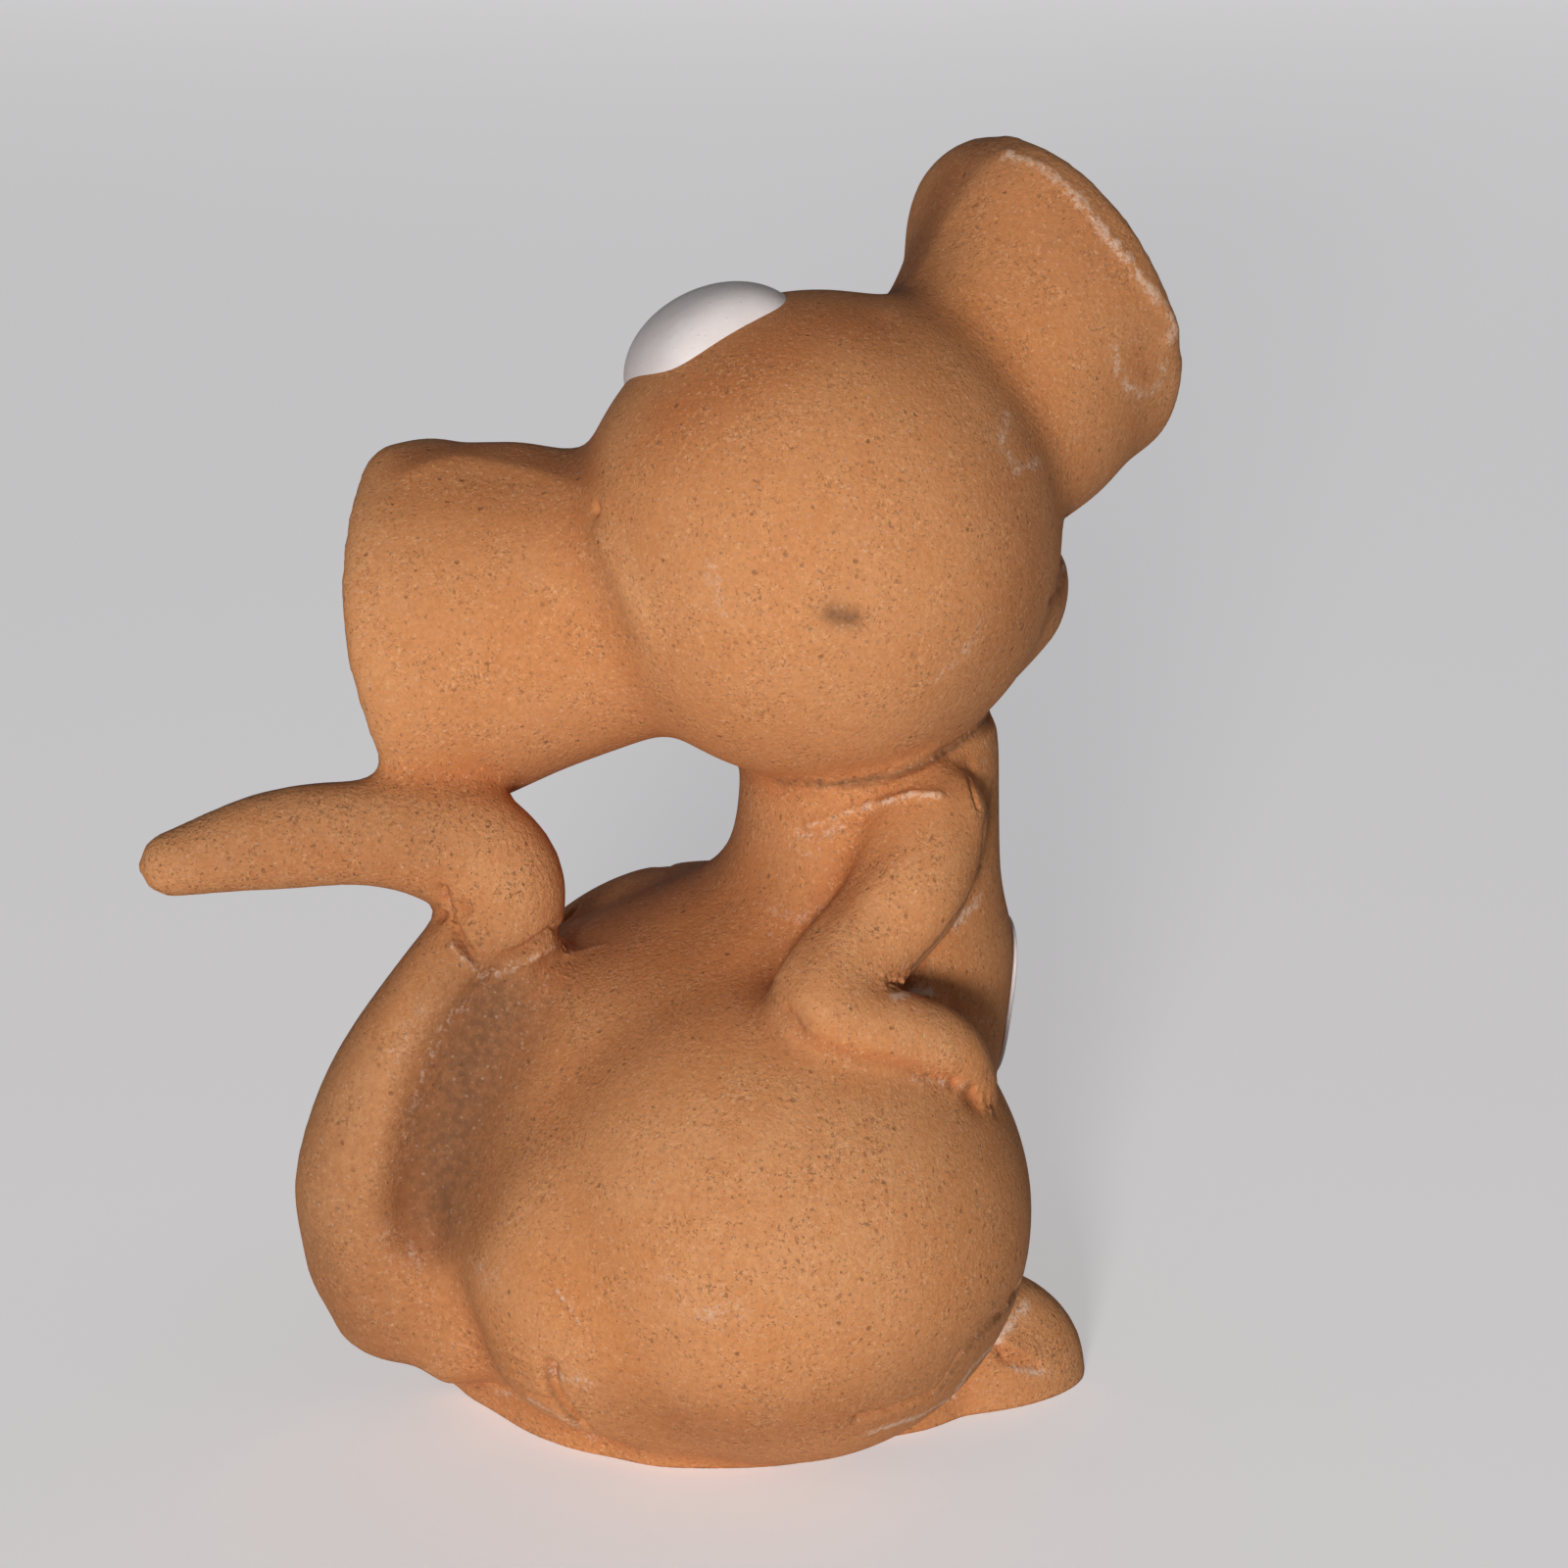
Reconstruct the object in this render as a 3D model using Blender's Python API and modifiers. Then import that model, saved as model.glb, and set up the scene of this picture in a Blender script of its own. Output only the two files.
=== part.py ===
"""Seated clay mouse figurine, modelled by hand and fired in one piece.

Metres, +Z up. The origin is on the ground under the middle of the body. The
body faces -Y, and the head looks over the left shoulder, towards +X.
"""
import math

import bmesh
import bpy
from mathutils import Matrix, Vector

# Body: a pear of clay, given as rows up its height
BODY_HEIGHT = 0.0410
HIP_HEIGHT = 0.0120
BELLY_HEIGHT = 0.0266
WAIST_HEIGHT = 0.0308
SHOULDER_TOP = 0.0345
BASE_BACK = 0.0160
BASE_FRONT = 0.0125
BASE_HALF_WIDTH = 0.0130
HIP_BACK = 0.0196
HIP_FRONT = 0.0150
HIP_HALF_WIDTH = 0.0152
BELLY_BACK = 0.0124
BELLY_FRONT = 0.0177
BELLY_HALF_WIDTH = 0.0112
WAIST_BACK = 0.0012
WAIST_FRONT = 0.0166
WAIST_HALF_WIDTH = 0.0096
NECK_BACK = -0.0008
NECK_FRONT = 0.0164
NECK_HALF_WIDTH = 0.0086

# Haunches and feet, the same on both sides
HAUNCH_RADIUS = 0.0148
HAUNCH_SPREAD = 0.0092
HAUNCH_HEIGHT = 0.0142
HAUNCH_FORWARD = 0.0008
FLANK_RADIUS = 0.0120
FLANK_BACK = 0.0070
FLANK_HEIGHT = 0.0112
SEAT_RADIUS = 0.0080
SEAT_SPREAD = 0.0038
SEAT_BACK = 0.0076
SEAT_HEIGHT = 0.0052
RUMP_RADIUS = 0.0068
RUMP_BACK = 0.0156
RUMP_HEIGHT = 0.0080
FOOT_LENGTH = 0.0131
FOOT_HEIGHT = 0.0066
FOOT_HALF_WIDTH = 0.0055
TOE_RADIUS = 0.0030

# Arms, rolls of clay bent at the elbow, the same on both sides
SHOULDER_HEIGHT = 0.0368
ELBOW_HEIGHT = 0.0276
RIGHT_ELBOW_TURN_DEG = 97.0
LEFT_ELBOW_TURN_DEG = 80.0
HAND_HEIGHT = 0.0202
SHOULDER_RADIUS = 0.0042
ELBOW_RADIUS = 0.0035
HAND_RADIUS = 0.0026

# Tail: a roll laid up the spine, then bent back and left free
SPINE_RADIUS = 0.0042
SPINE_STAND = 0.0034
TAIL_RADIUS = 0.0037
TAIL_TIP_RADIUS = 0.0020
TAIL_JOINT_HEIGHT = 0.0290
TAIL_JOINT_BACK = 0.0142
TAIL_INTO_EAR = 0.0005
TAIL_REACH = 0.0180

# Head: a ball on the neck, turned over the left shoulder
HEAD_RADIUS = 0.0143
HEAD_SINK = 0.0030
HEAD_BACK_SHIFT = 0.0031
HEAD_TURN_DEG = 75.0
HEAD_NOD_DEG = 18.0
HEAD_ROLL_DEG = 28.0
MUZZLE_HALF_WIDTH = 0.0120
MUZZLE_HALF_HEIGHT = 0.0056
MUZZLE_SHIFT = 0.0012
MUZZLE_REACH = 0.0045
NOSE_RADIUS = 0.0026

# Ears: thick flared cups, each shaped by hand and so a little unlike the other
EAR_STEM_RADIUS = 0.0085
EAR_STEM_LIFT = 0.0022
EAR_RIM_RADIUS = 0.0108
EAR_LIFT = 0.0066
EAR_WALL = 0.0030
EAR_CUP_DEPTH = 0.0045
EAR_SET_BACK = 0.0010
RIGHT_EAR_REACH = 0.0205
RIGHT_EAR_SPLAY_DEG = 24.0
RIGHT_EAR_TILT_DEG = 6.0
LEFT_EAR_REACH = 0.0243
LEFT_EAR_SPLAY_DEG = 18.0
LEFT_EAR_TILT_DEG = 20.0

# White clay pressed on, with the clearance that two fired clays keep
EYE_HALF_WIDTH = 0.0053
EYE_HALF_HEIGHT = 0.0088
EYE_PROUD = 0.0019
PATCH_HEIGHT = 0.0235
PATCH_HALF_WIDTH = 0.0054
PATCH_HALF_HEIGHT = 0.0062
PATCH_THICKNESS = 0.0006
SEAT_GAP = 0.0003

# Finish of the clay: how soft the thumbed joins are, and the facet count
CLAY_STEP = 0.0006
FINE_STEP = 0.0005
FIGURE_FACES = 8600

TERRACOTTA = (0.62, 0.27, 0.085, 1.0)
WHITE_CLAY = (0.80, 0.78, 0.76, 1.0)


def clear_scene():
    for obj in list(bpy.data.objects):
        bpy.data.objects.remove(obj, do_unlink=True)


def collection(name):
    group = bpy.data.collections.new(name)
    bpy.context.scene.collection.children.link(group)
    return group


def clay(name, colour, roughness):
    material = bpy.data.materials.new(name)
    material.use_nodes = True
    shader = material.node_tree.nodes["Principled BSDF"]
    shader.inputs["Base Color"].default_value = colour
    shader.inputs["Roughness"].default_value = roughness
    shader.inputs["Metallic"].default_value = 0.0
    return material


def add_object(name, bm, group):
    mesh = bpy.data.meshes.new(name)
    bm.to_mesh(mesh)
    bm.free()
    obj = bpy.data.objects.new(name, mesh)
    group.objects.link(obj)
    return obj


def bake(obj):
    """Turn an object and its modifiers into a plain mesh."""
    bpy.context.view_layer.update()
    depsgraph = bpy.context.evaluated_depsgraph_get()
    mesh = bpy.data.meshes.new_from_object(obj.evaluated_get(depsgraph))
    mesh.transform(obj.matrix_world)
    obj.modifiers.clear()
    obj.matrix_world = Matrix.Identity(4)
    if obj.type == "MESH":
        obj.data = mesh
        return obj
    name = obj.name
    group = obj.users_collection[0]
    bpy.data.objects.remove(obj, do_unlink=True)
    bm = bmesh.new()
    bm.from_mesh(mesh)
    bmesh.ops.remove_doubles(bm, verts=bm.verts, dist=0.00001)
    bmesh.ops.recalc_face_normals(bm, faces=bm.faces)
    return add_object(name, bm, group)


def spline_value(rows, t):
    """Smooth value at t from rows of (t, value...), ends held."""
    if t <= rows[0][0]:
        return list(rows[0][1:])
    if t >= rows[-1][0]:
        return list(rows[-1][1:])
    i = 0
    while rows[i + 1][0] < t:
        i += 1
    a = rows[i]
    b = rows[i + 1]
    before = rows[i - 1] if i > 0 else a
    after = rows[i + 2] if i + 2 < len(rows) else b
    span = b[0] - a[0]
    s = (t - a[0]) / span
    out = []
    for k in range(1, len(a)):
        slope_a = (b[k] - before[k]) / (b[0] - before[0]) * span
        slope_b = (after[k] - a[k]) / (after[0] - a[0]) * span
        h1 = 2 * s ** 3 - 3 * s ** 2 + 1
        h2 = s ** 3 - 2 * s ** 2 + s
        h3 = 3 * s ** 2 - 2 * s ** 3
        h4 = s ** 3 - s ** 2
        out.append(h1 * a[k] + h2 * slope_a + h3 * b[k] + h4 * slope_b)
    return out


def body_rows():
    """Rows of (height, back, front, half width) of the pear."""
    return (
        (0.0, BASE_BACK, BASE_FRONT, BASE_HALF_WIDTH),
        (HIP_HEIGHT, HIP_BACK, HIP_FRONT, HIP_HALF_WIDTH),
        (BELLY_HEIGHT, BELLY_BACK, BELLY_FRONT, BELLY_HALF_WIDTH),
        (WAIST_HEIGHT, WAIST_BACK, WAIST_FRONT, WAIST_HALF_WIDTH),
        (SHOULDER_TOP, NECK_BACK, NECK_FRONT, NECK_HALF_WIDTH * 1.06),
        (BODY_HEIGHT, NECK_BACK, NECK_FRONT, NECK_HALF_WIDTH),
    )


def body_point(height, angle_deg, out=0.0):
    """Point on the pear, with the angle from the front towards the right side."""
    back, front, half_width = spline_value(body_rows(), height)
    centre = (back - front) / 2
    depth = (back + front) / 2 + out
    angle = math.radians(angle_deg)
    x = -(half_width + out) * math.sin(angle)
    y = centre - depth * math.cos(angle)
    return Vector((x, y, height))


def body(group):
    bm = bmesh.new()
    rings = []
    steps = 28
    lowest = -0.002
    for i in range(steps + 1):
        height = lowest + (BODY_HEIGHT - lowest) * i / steps
        ring = [bm.verts.new(body_point(height, 7.5 * k)) for k in range(48)]
        for vert in ring:
            vert.co.z = height
        rings.append(ring)
    for low, high in zip(rings, rings[1:]):
        for k in range(48):
            bm.faces.new((low[k], low[(k + 1) % 48], high[(k + 1) % 48], high[k]))
    bm.faces.new(rings[0])
    bm.faces.new(list(reversed(rings[-1])))
    bmesh.ops.recalc_face_normals(bm, faces=bm.faces)
    return add_object("body", bm, group)


def lump(name, centre, radii, group, turn=None):
    """A pinch of clay: a ball stretched to three radii."""
    bm = bmesh.new()
    bmesh.ops.create_uvsphere(bm, u_segments=40, v_segments=24, radius=1.0)
    frame = turn.to_4x4() if turn else Matrix.Identity(4)
    scale = Matrix.Diagonal((radii[0], radii[1], radii[2], 1.0))
    bm.transform(Matrix.Translation(centre) @ frame @ scale)
    return add_object(name, bm, group)


def clay_roll(name, points, radii, group):
    """A roll of clay along a smooth line, with round ends."""
    curve = bpy.data.curves.new(name, "CURVE")
    curve.dimensions = "3D"
    curve.bevel_depth = 1.0
    curve.bevel_resolution = 6
    curve.resolution_u = 10
    curve.use_fill_caps = True
    spline = curve.splines.new("BEZIER")
    spline.bezier_points.add(len(points) - 1)
    for knot, point, radius in zip(spline.bezier_points, points, radii):
        knot.co = point
        knot.radius = radius
        knot.handle_left_type = "AUTO"
        knot.handle_right_type = "AUTO"
    obj = bpy.data.objects.new(name, curve)
    group.objects.link(obj)
    pieces = [bake(obj)]
    for point, radius in ((points[0], radii[0]), (points[-1], radii[-1])):
        pieces.append(lump(name + "_end", point, (radius, radius, radius), group))
    return pieces


def thumb_together(name, pieces, step, passes, group, softness=None):
    """Press pieces of clay into one, and stroke the joins soft, all over or by place."""
    bm = bmesh.new()
    for piece in pieces:
        bm.from_mesh(piece.data)
    for piece in pieces:
        bpy.data.objects.remove(piece, do_unlink=True)
    obj = add_object(name, bm, group)
    remesh = obj.modifiers.new("press", "REMESH")
    remesh.mode = "VOXEL"
    remesh.voxel_size = step
    bake(obj)
    if passes:
        smooth = obj.modifiers.new("stroke", "SMOOTH")
        smooth.factor = 0.5
        smooth.iterations = passes
        if softness:
            soft = obj.vertex_groups.new(name="soft")
            for vert in obj.data.vertices:
                soft.add([vert.index], softness(vert.co), "REPLACE")
            smooth.vertex_group = "soft"
        bake(obj)
    return obj


def head_frame():
    """Turn of the head: local +Y is the face, +Z the crown, +X the right ear."""
    turn = Matrix.Rotation(math.radians(180.0 + HEAD_TURN_DEG), 3, "Z")
    nod = Matrix.Rotation(math.radians(-HEAD_NOD_DEG), 3, "X")
    roll = Matrix.Rotation(math.radians(-HEAD_ROLL_DEG), 3, "Y")
    return turn @ nod @ roll


def head_centre():
    y = (NECK_BACK - NECK_FRONT) / 2 + HEAD_BACK_SHIFT
    return Vector((0.0, y, BODY_HEIGHT + HEAD_RADIUS - HEAD_SINK))


def ear_axis(side):
    """Middle of an ear's rim and the way it points, as if it were the right ear."""
    right = side > 0
    reach = RIGHT_EAR_REACH if right else LEFT_EAR_REACH
    splay = math.radians(RIGHT_EAR_SPLAY_DEG if right else LEFT_EAR_SPLAY_DEG)
    tilt = math.radians(RIGHT_EAR_TILT_DEG if right else LEFT_EAR_TILT_DEG)
    out = Vector((math.cos(splay) * math.cos(tilt), math.sin(splay), math.sin(tilt))).normalized()
    return Vector((reach, reach * math.tan(splay) - EAR_SET_BACK, EAR_LIFT)), out


def ear_in_place(side):
    """Middle of an ear's rim and the way it points, where the head carries it."""
    rim, out = ear_axis(side)
    mirror = Matrix.Diagonal((float(side), 1.0, 1.0))
    return head_centre() + head_frame() @ (mirror @ rim), head_frame() @ (mirror @ out)


def ear_underside():
    """Height of the lowest place on the left ear's rim, which rests on the tail."""
    rim, out = ear_in_place(-1)
    middle = rim - out * EAR_WALL * 0.60
    return middle.z - EAR_RIM_RADIUS * math.sqrt(1.0 - out.z ** 2)


def ear_softness(place):
    """How far a place on the head is stroked: fully at the joins, little at the rims."""
    softest = 1.0
    for side in (-1, 1):
        rim, out = ear_in_place(side)
        if (place - rim).length < EAR_RIM_RADIUS * 1.35:
            back = (rim - place).dot(out) / EAR_RIM_RADIUS
            softest = min(softest, max(0.10, min(1.0, back * 3.2)))
    return softest


def ear(name, side, group):
    """A flared cup, lofted in the head's own frame and then turned with it."""
    right = side > 0
    rim, out = ear_axis(side)
    across = Vector((0.0, 0.0, 1.0)).cross(out).normalized()
    upward = out.cross(across).normalized()
    stem = Vector((HEAD_RADIUS * 0.80, rim.y * 0.38, EAR_STEM_LIFT))
    root = Vector((HEAD_RADIUS * 0.30, 0.0, 0.0))
    cup = EAR_RIM_RADIUS - EAR_WALL
    flare = EAR_RIM_RADIUS - EAR_STEM_RADIUS
    path = (
        (root, EAR_STEM_RADIUS * 0.90),
        (stem, EAR_STEM_RADIUS),
        (stem.lerp(rim, 0.40), EAR_STEM_RADIUS + flare * 0.42),
        (rim - out * EAR_WALL * 1.15, EAR_STEM_RADIUS + flare * 0.95),
        (rim - out * EAR_WALL * 0.55, EAR_RIM_RADIUS),
        (rim - out * EAR_WALL * 0.20, EAR_RIM_RADIUS - EAR_WALL * 0.05),
        (rim + out * EAR_WALL * 0.02, EAR_RIM_RADIUS - EAR_WALL * 0.24),
        (rim + out * EAR_WALL * 0.04, EAR_RIM_RADIUS - EAR_WALL * 0.62),
        (rim - out * EAR_WALL * 0.10, EAR_RIM_RADIUS - EAR_WALL * 0.88),
        (rim - out * EAR_CUP_DEPTH * 0.40, cup * 0.88),
        (rim - out * EAR_CUP_DEPTH * 0.78, cup * 0.62),
        (rim - out * EAR_CUP_DEPTH, cup * 0.25),
    )
    bm = bmesh.new()
    rings = []
    for centre, radius in path:
        ring = []
        for k in range(40):
            angle = math.radians(9.0 * k)
            around = across * math.cos(angle) + upward * math.sin(angle)
            ring.append(bm.verts.new(centre + around * radius))
        rings.append(ring)
    for low, high in zip(rings, rings[1:]):
        for k in range(40):
            bm.faces.new((low[k], low[(k + 1) % 40], high[(k + 1) % 40], high[k]))
    bm.faces.new(rings[0])
    bm.faces.new(list(reversed(rings[-1])))
    if not right:
        bmesh.ops.scale(bm, vec=(-1.0, 1.0, 1.0), verts=bm.verts)
    bm.transform(Matrix.Translation(head_centre()) @ head_frame().to_4x4())
    bmesh.ops.recalc_face_normals(bm, faces=bm.faces)
    return add_object(name, bm, group)


def on_head(x, y, z):
    return head_centre() + head_frame() @ Vector((x, y, z))


def head(group):
    """Head ball, ears and muzzle, thumbed together."""
    turn = head_frame()
    size = (HEAD_RADIUS, HEAD_RADIUS, HEAD_RADIUS)
    pieces = [lump("ball", head_centre(), size, group)]
    pieces.append(ear("ear_r", 1, group))
    pieces.append(ear("ear_l", -1, group))
    blend = thumb_together("head", pieces, CLAY_STEP, 26, group, ear_softness)
    reach = HEAD_RADIUS * 0.62
    drop = -HEAD_RADIUS * 0.56
    muzzle_size = (MUZZLE_HALF_WIDTH, HEAD_RADIUS * 0.38 + MUZZLE_REACH, MUZZLE_HALF_HEIGHT)
    muzzle = lump("muzzle", on_head(MUZZLE_SHIFT, reach, drop), muzzle_size, group, turn)
    nose_front = reach + muzzle_size[1] - NOSE_RADIUS * 0.2
    nose_at = on_head(MUZZLE_SHIFT, nose_front, drop + MUZZLE_HALF_HEIGHT * 0.4)
    nose = lump("nose", nose_at, (NOSE_RADIUS, NOSE_RADIUS, NOSE_RADIUS), group)
    return [blend, muzzle, nose]


def haunch_centre(side):
    return Vector((side * HAUNCH_SPREAD, -HAUNCH_FORWARD, HAUNCH_HEIGHT))


def tail_joint():
    return Vector((0.0, TAIL_JOINT_BACK, TAIL_JOINT_HEIGHT))


def trunk(group):
    """Body, haunches and the roll up the spine, thumbed together."""
    size = (HAUNCH_RADIUS, HAUNCH_RADIUS, HAUNCH_RADIUS)
    pieces = [body(group)]
    flank = (FLANK_RADIUS, FLANK_RADIUS, FLANK_RADIUS)
    for side in (-1, 1):
        pieces.append(lump("haunch", haunch_centre(side), size, group))
        middle = haunch_centre(side)
        flank_at = Vector((middle.x * 0.70, middle.y + FLANK_BACK, FLANK_HEIGHT))
        pieces.append(lump("flank", flank_at, flank, group))
        seat_at = Vector((side * SEAT_SPREAD, SEAT_BACK, SEAT_HEIGHT))
        pieces.append(lump("seat", seat_at, (SEAT_RADIUS, SEAT_RADIUS, SEAT_RADIUS), group))
    foot_of_tail = SPINE_RADIUS * 1.15
    foot_at = Vector((0.0, BASE_BACK - 0.0010, SPINE_RADIUS))
    pieces.append(lump("tail_foot", foot_at, (foot_of_tail, foot_of_tail, foot_of_tail), group))
    rump_at = Vector((0.0, RUMP_BACK, RUMP_HEIGHT))
    pieces.append(lump("rump", rump_at, (RUMP_RADIUS, RUMP_RADIUS, RUMP_RADIUS), group))
    spine = []
    for share in (0.23, 0.40, 0.58, 0.77, 0.96):
        back = body_point(BELLY_HEIGHT * share, 180.0)
        spine.append(back + Vector((0.0, SPINE_STAND, 0.0)))
    spine.append(tail_joint())
    radii = [SPINE_RADIUS * s for s in (0.94, 1.0, 1.0, 1.0, 0.98, 0.92)]
    pieces += clay_roll("spine", spine, radii, group)
    return thumb_together("trunk", pieces, CLAY_STEP, 34, group)


def tail(group):
    """The free end of the tail, luted on top of the roll up the spine."""
    joint = tail_joint()
    top = ear_underside() + TAIL_INTO_EAR
    points = (
        joint,
        joint + Vector((0.0004, -0.0008, (top - joint.z) * 0.55)),
        Vector((0.0014, joint.y + 0.0016, top - 0.0004)),
        Vector((0.0026, joint.y + TAIL_REACH * 0.36, top + 0.0004)),
        Vector((0.0038, joint.y + TAIL_REACH * 0.68, top)),
        Vector((0.0046, joint.y + TAIL_REACH, top - 0.0012)),
    )
    radii = (
        SPINE_RADIUS * 0.86,
        SPINE_RADIUS * 0.88,
        TAIL_RADIUS * 1.06,
        TAIL_RADIUS * 0.86,
        TAIL_RADIUS * 0.80,
        TAIL_TIP_RADIUS,
    )
    return clay_roll("tail", points, radii, group)


def arm(side, group):
    """One arm: a roll from the shoulder back to the elbow and round to the belly."""
    shoulder = body_point(SHOULDER_HEIGHT, 80.0, -SHOULDER_RADIUS * 0.10)
    upper = body_point((SHOULDER_HEIGHT + ELBOW_HEIGHT) / 2, 90.0, ELBOW_RADIUS * 0.45)
    turn = RIGHT_ELBOW_TURN_DEG if side < 0 else LEFT_ELBOW_TURN_DEG
    elbow = body_point(ELBOW_HEIGHT, turn, ELBOW_RADIUS * 0.75)
    fore = body_point(ELBOW_HEIGHT * 0.55 + HAND_HEIGHT * 0.45, 64.0, HAND_RADIUS * 1.10)
    hand = body_point(HAND_HEIGHT, 34.0, -HAND_RADIUS * 0.25)
    points = [Vector((-side * p.x, p.y, p.z)) for p in (shoulder, upper, elbow, fore, hand)]
    radii = (
        SHOULDER_RADIUS,
        (SHOULDER_RADIUS + ELBOW_RADIUS) / 2,
        ELBOW_RADIUS,
        (ELBOW_RADIUS + HAND_RADIUS) / 2,
        HAND_RADIUS,
    )
    return clay_roll("arm", points, radii, group)


def foot(side, group):
    """One foot: a flattened drop that comes out from under the haunch."""
    heel = haunch_centre(side)
    heel.z = FOOT_HEIGHT * 0.40
    heel.y -= HAUNCH_RADIUS * 0.45
    toe = heel + Vector((side * 0.0004, -FOOT_LENGTH + TOE_RADIUS, 0.0))
    toe.z = TOE_RADIUS * 0.70
    points = (heel, heel.lerp(toe, 0.5), toe)
    radii = (FOOT_HALF_WIDTH, FOOT_HALF_WIDTH * 0.94, TOE_RADIUS)
    return clay_roll("foot", points, radii, group)


def cut_flat(obj, height):
    """Slice everything below a height off, and leave one flat face there."""
    bm = bmesh.new()
    bm.from_mesh(obj.data)
    geometry = list(bm.verts) + list(bm.edges) + list(bm.faces)
    plane = Vector((0.0, 0.0, height))
    cut = bmesh.ops.bisect_plane(
        bm,
        geom=geometry,
        dist=0.00001,
        plane_co=plane,
        plane_no=Vector((0.0, 0.0, 1.0)),
        clear_inner=True,
    )
    edges = [item for item in cut["geom_cut"] if isinstance(item, bmesh.types.BMEdge)]
    bmesh.ops.remove_doubles(bm, verts=bm.verts, dist=0.00002)
    rim = [edge for edge in bm.edges if edge.is_boundary]
    bmesh.ops.holes_fill(bm, edges=rim or edges, sides=0)
    bmesh.ops.recalc_face_normals(bm, faces=bm.faces)
    bm.to_mesh(obj.data)
    bm.free()


def keep_largest(obj):
    """Drop stray crumbs, keep the largest body."""
    bm = bmesh.new()
    bm.from_mesh(obj.data)
    left = set(bm.verts)
    groups = []
    while left:
        stack = [left.pop()]
        found = set(stack)
        while stack:
            vert = stack.pop()
            for edge in vert.link_edges:
                other = edge.other_vert(vert)
                if other in left:
                    left.discard(other)
                    found.add(other)
                    stack.append(other)
        groups.append(found)
    groups.sort(key=len, reverse=True)
    for crumbs in groups[1:]:
        bmesh.ops.delete(bm, geom=list(crumbs), context="VERTS")
    bm.to_mesh(obj.data)
    bm.free()


def figure(group):
    """The fired figure: every piece of the red clay, in one body."""
    pieces = [trunk(group)]
    pieces += head(group)
    pieces += tail(group)
    for side in (-1, 1):
        pieces += arm(side, group)
        pieces += foot(side, group)
    obj = thumb_together("clay_figure", pieces, FINE_STEP, 3, group)
    keep_largest(obj)
    faces = sum(len(face.vertices) - 2 for face in obj.data.polygons)
    thin = obj.modifiers.new("facets", "DECIMATE")
    thin.ratio = min(1.0, FIGURE_FACES / faces)
    bake(obj)
    cut_flat(obj, 0.0)
    return obj


def grown_copy(obj, amount, group):
    """The figure grown by a clearance, as a cutter."""
    copy = bpy.data.objects.new("clearance", obj.data.copy())
    group.objects.link(copy)
    copy.hide_render = True
    copy.display_type = "WIRE"
    push = copy.modifiers.new("grow", "DISPLACE")
    push.strength = amount
    push.mid_level = 0.0
    push.direction = "NORMAL"
    return bake(copy)


def press_on(name, bm, cutter, group):
    """A piece of white clay, shaped to what it is pressed on."""
    obj = add_object(name, bm, group)
    cut = obj.modifiers.new("seat", "BOOLEAN")
    cut.operation = "DIFFERENCE"
    cut.solver = "EXACT"
    cut.object = cutter
    bake(obj)
    keep_largest(obj)
    return obj


def eye_whites(cutter, group):
    """The white of both eyes, one oval pressed over the crown."""
    bm = bmesh.new()
    bmesh.ops.create_uvsphere(bm, u_segments=36, v_segments=20, radius=1.0)
    sink = 0.0022
    size = (EYE_HALF_WIDTH, EYE_HALF_HEIGHT, EYE_PROUD + sink)
    bm.transform(Matrix.Diagonal((size[0], size[1], size[2], 1.0)))
    lean = Matrix.Rotation(math.radians(9.0), 4, "X")
    bm.transform(lean @ Matrix.Translation((-0.0005, 0.0, HEAD_RADIUS - sink)))
    bm.transform(Matrix.Translation(head_centre()) @ head_frame().to_4x4())
    return press_on("eye_whites", bm, cutter, group)


def tummy_patch(target, group):
    """The pale oval on the belly, a skin drawn onto the clay from the front."""
    bm = bmesh.new()
    bmesh.ops.create_circle(bm, cap_ends=True, segments=40, radius=1.0)
    for share in (0.86, 0.62, 0.36, 0.16):
        inner = [face for face in bm.faces if len(face.verts) == 40]
        bmesh.ops.inset_individual(bm, faces=inner, thickness=0.10)
        ring = [vert for face in bm.faces if len(face.verts) == 40 for vert in face.verts]
        for vert in ring:
            vert.co = vert.co.normalized() * share
    size = Matrix.Diagonal((PATCH_HALF_WIDTH, PATCH_HALF_HEIGHT, 1.0, 1.0))
    turn = Matrix.Rotation(math.radians(90.0), 4, "X")
    front = body_point(PATCH_HEIGHT, 0.0) + Vector((0.0, -BELLY_FRONT, 0.0))
    bm.transform(Matrix.Translation(front) @ turn @ size)
    obj = add_object("tummy_patch", bm, group)
    draw = obj.modifiers.new("draw", "SHRINKWRAP")
    draw.target = target
    draw.wrap_method = "PROJECT"
    draw.use_project_y = True
    draw.use_positive_direction = True
    draw.use_negative_direction = False
    draw.offset = SEAT_GAP
    bake(obj)
    shell = obj.modifiers.new("shell", "SOLIDIFY")
    shell.thickness = PATCH_THICKNESS
    shell.offset = 1.0
    bake(obj)
    return obj


def finish(obj, material):
    obj.data.materials.clear()
    obj.data.materials.append(material)
    obj.data.shade_smooth()
    obj.data.set_sharp_from_angle(angle=math.radians(50.0))


def main():
    clear_scene()
    parts = collection("mouse_figurine")
    cutters = collection("cutters")
    clay_figure = figure(parts)
    seat = grown_copy(clay_figure, SEAT_GAP, cutters)
    whites = eye_whites(seat, parts)
    patch = tummy_patch(clay_figure, parts)
    red = clay("fired_terracotta", TERRACOTTA, 0.85)
    finish(clay_figure, red)
    finish(whites, clay("white_clay_eyes", WHITE_CLAY, 0.60))
    finish(patch, clay("white_clay_patch", WHITE_CLAY, 0.70))


if __name__ == "__main__":
    main()
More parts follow.
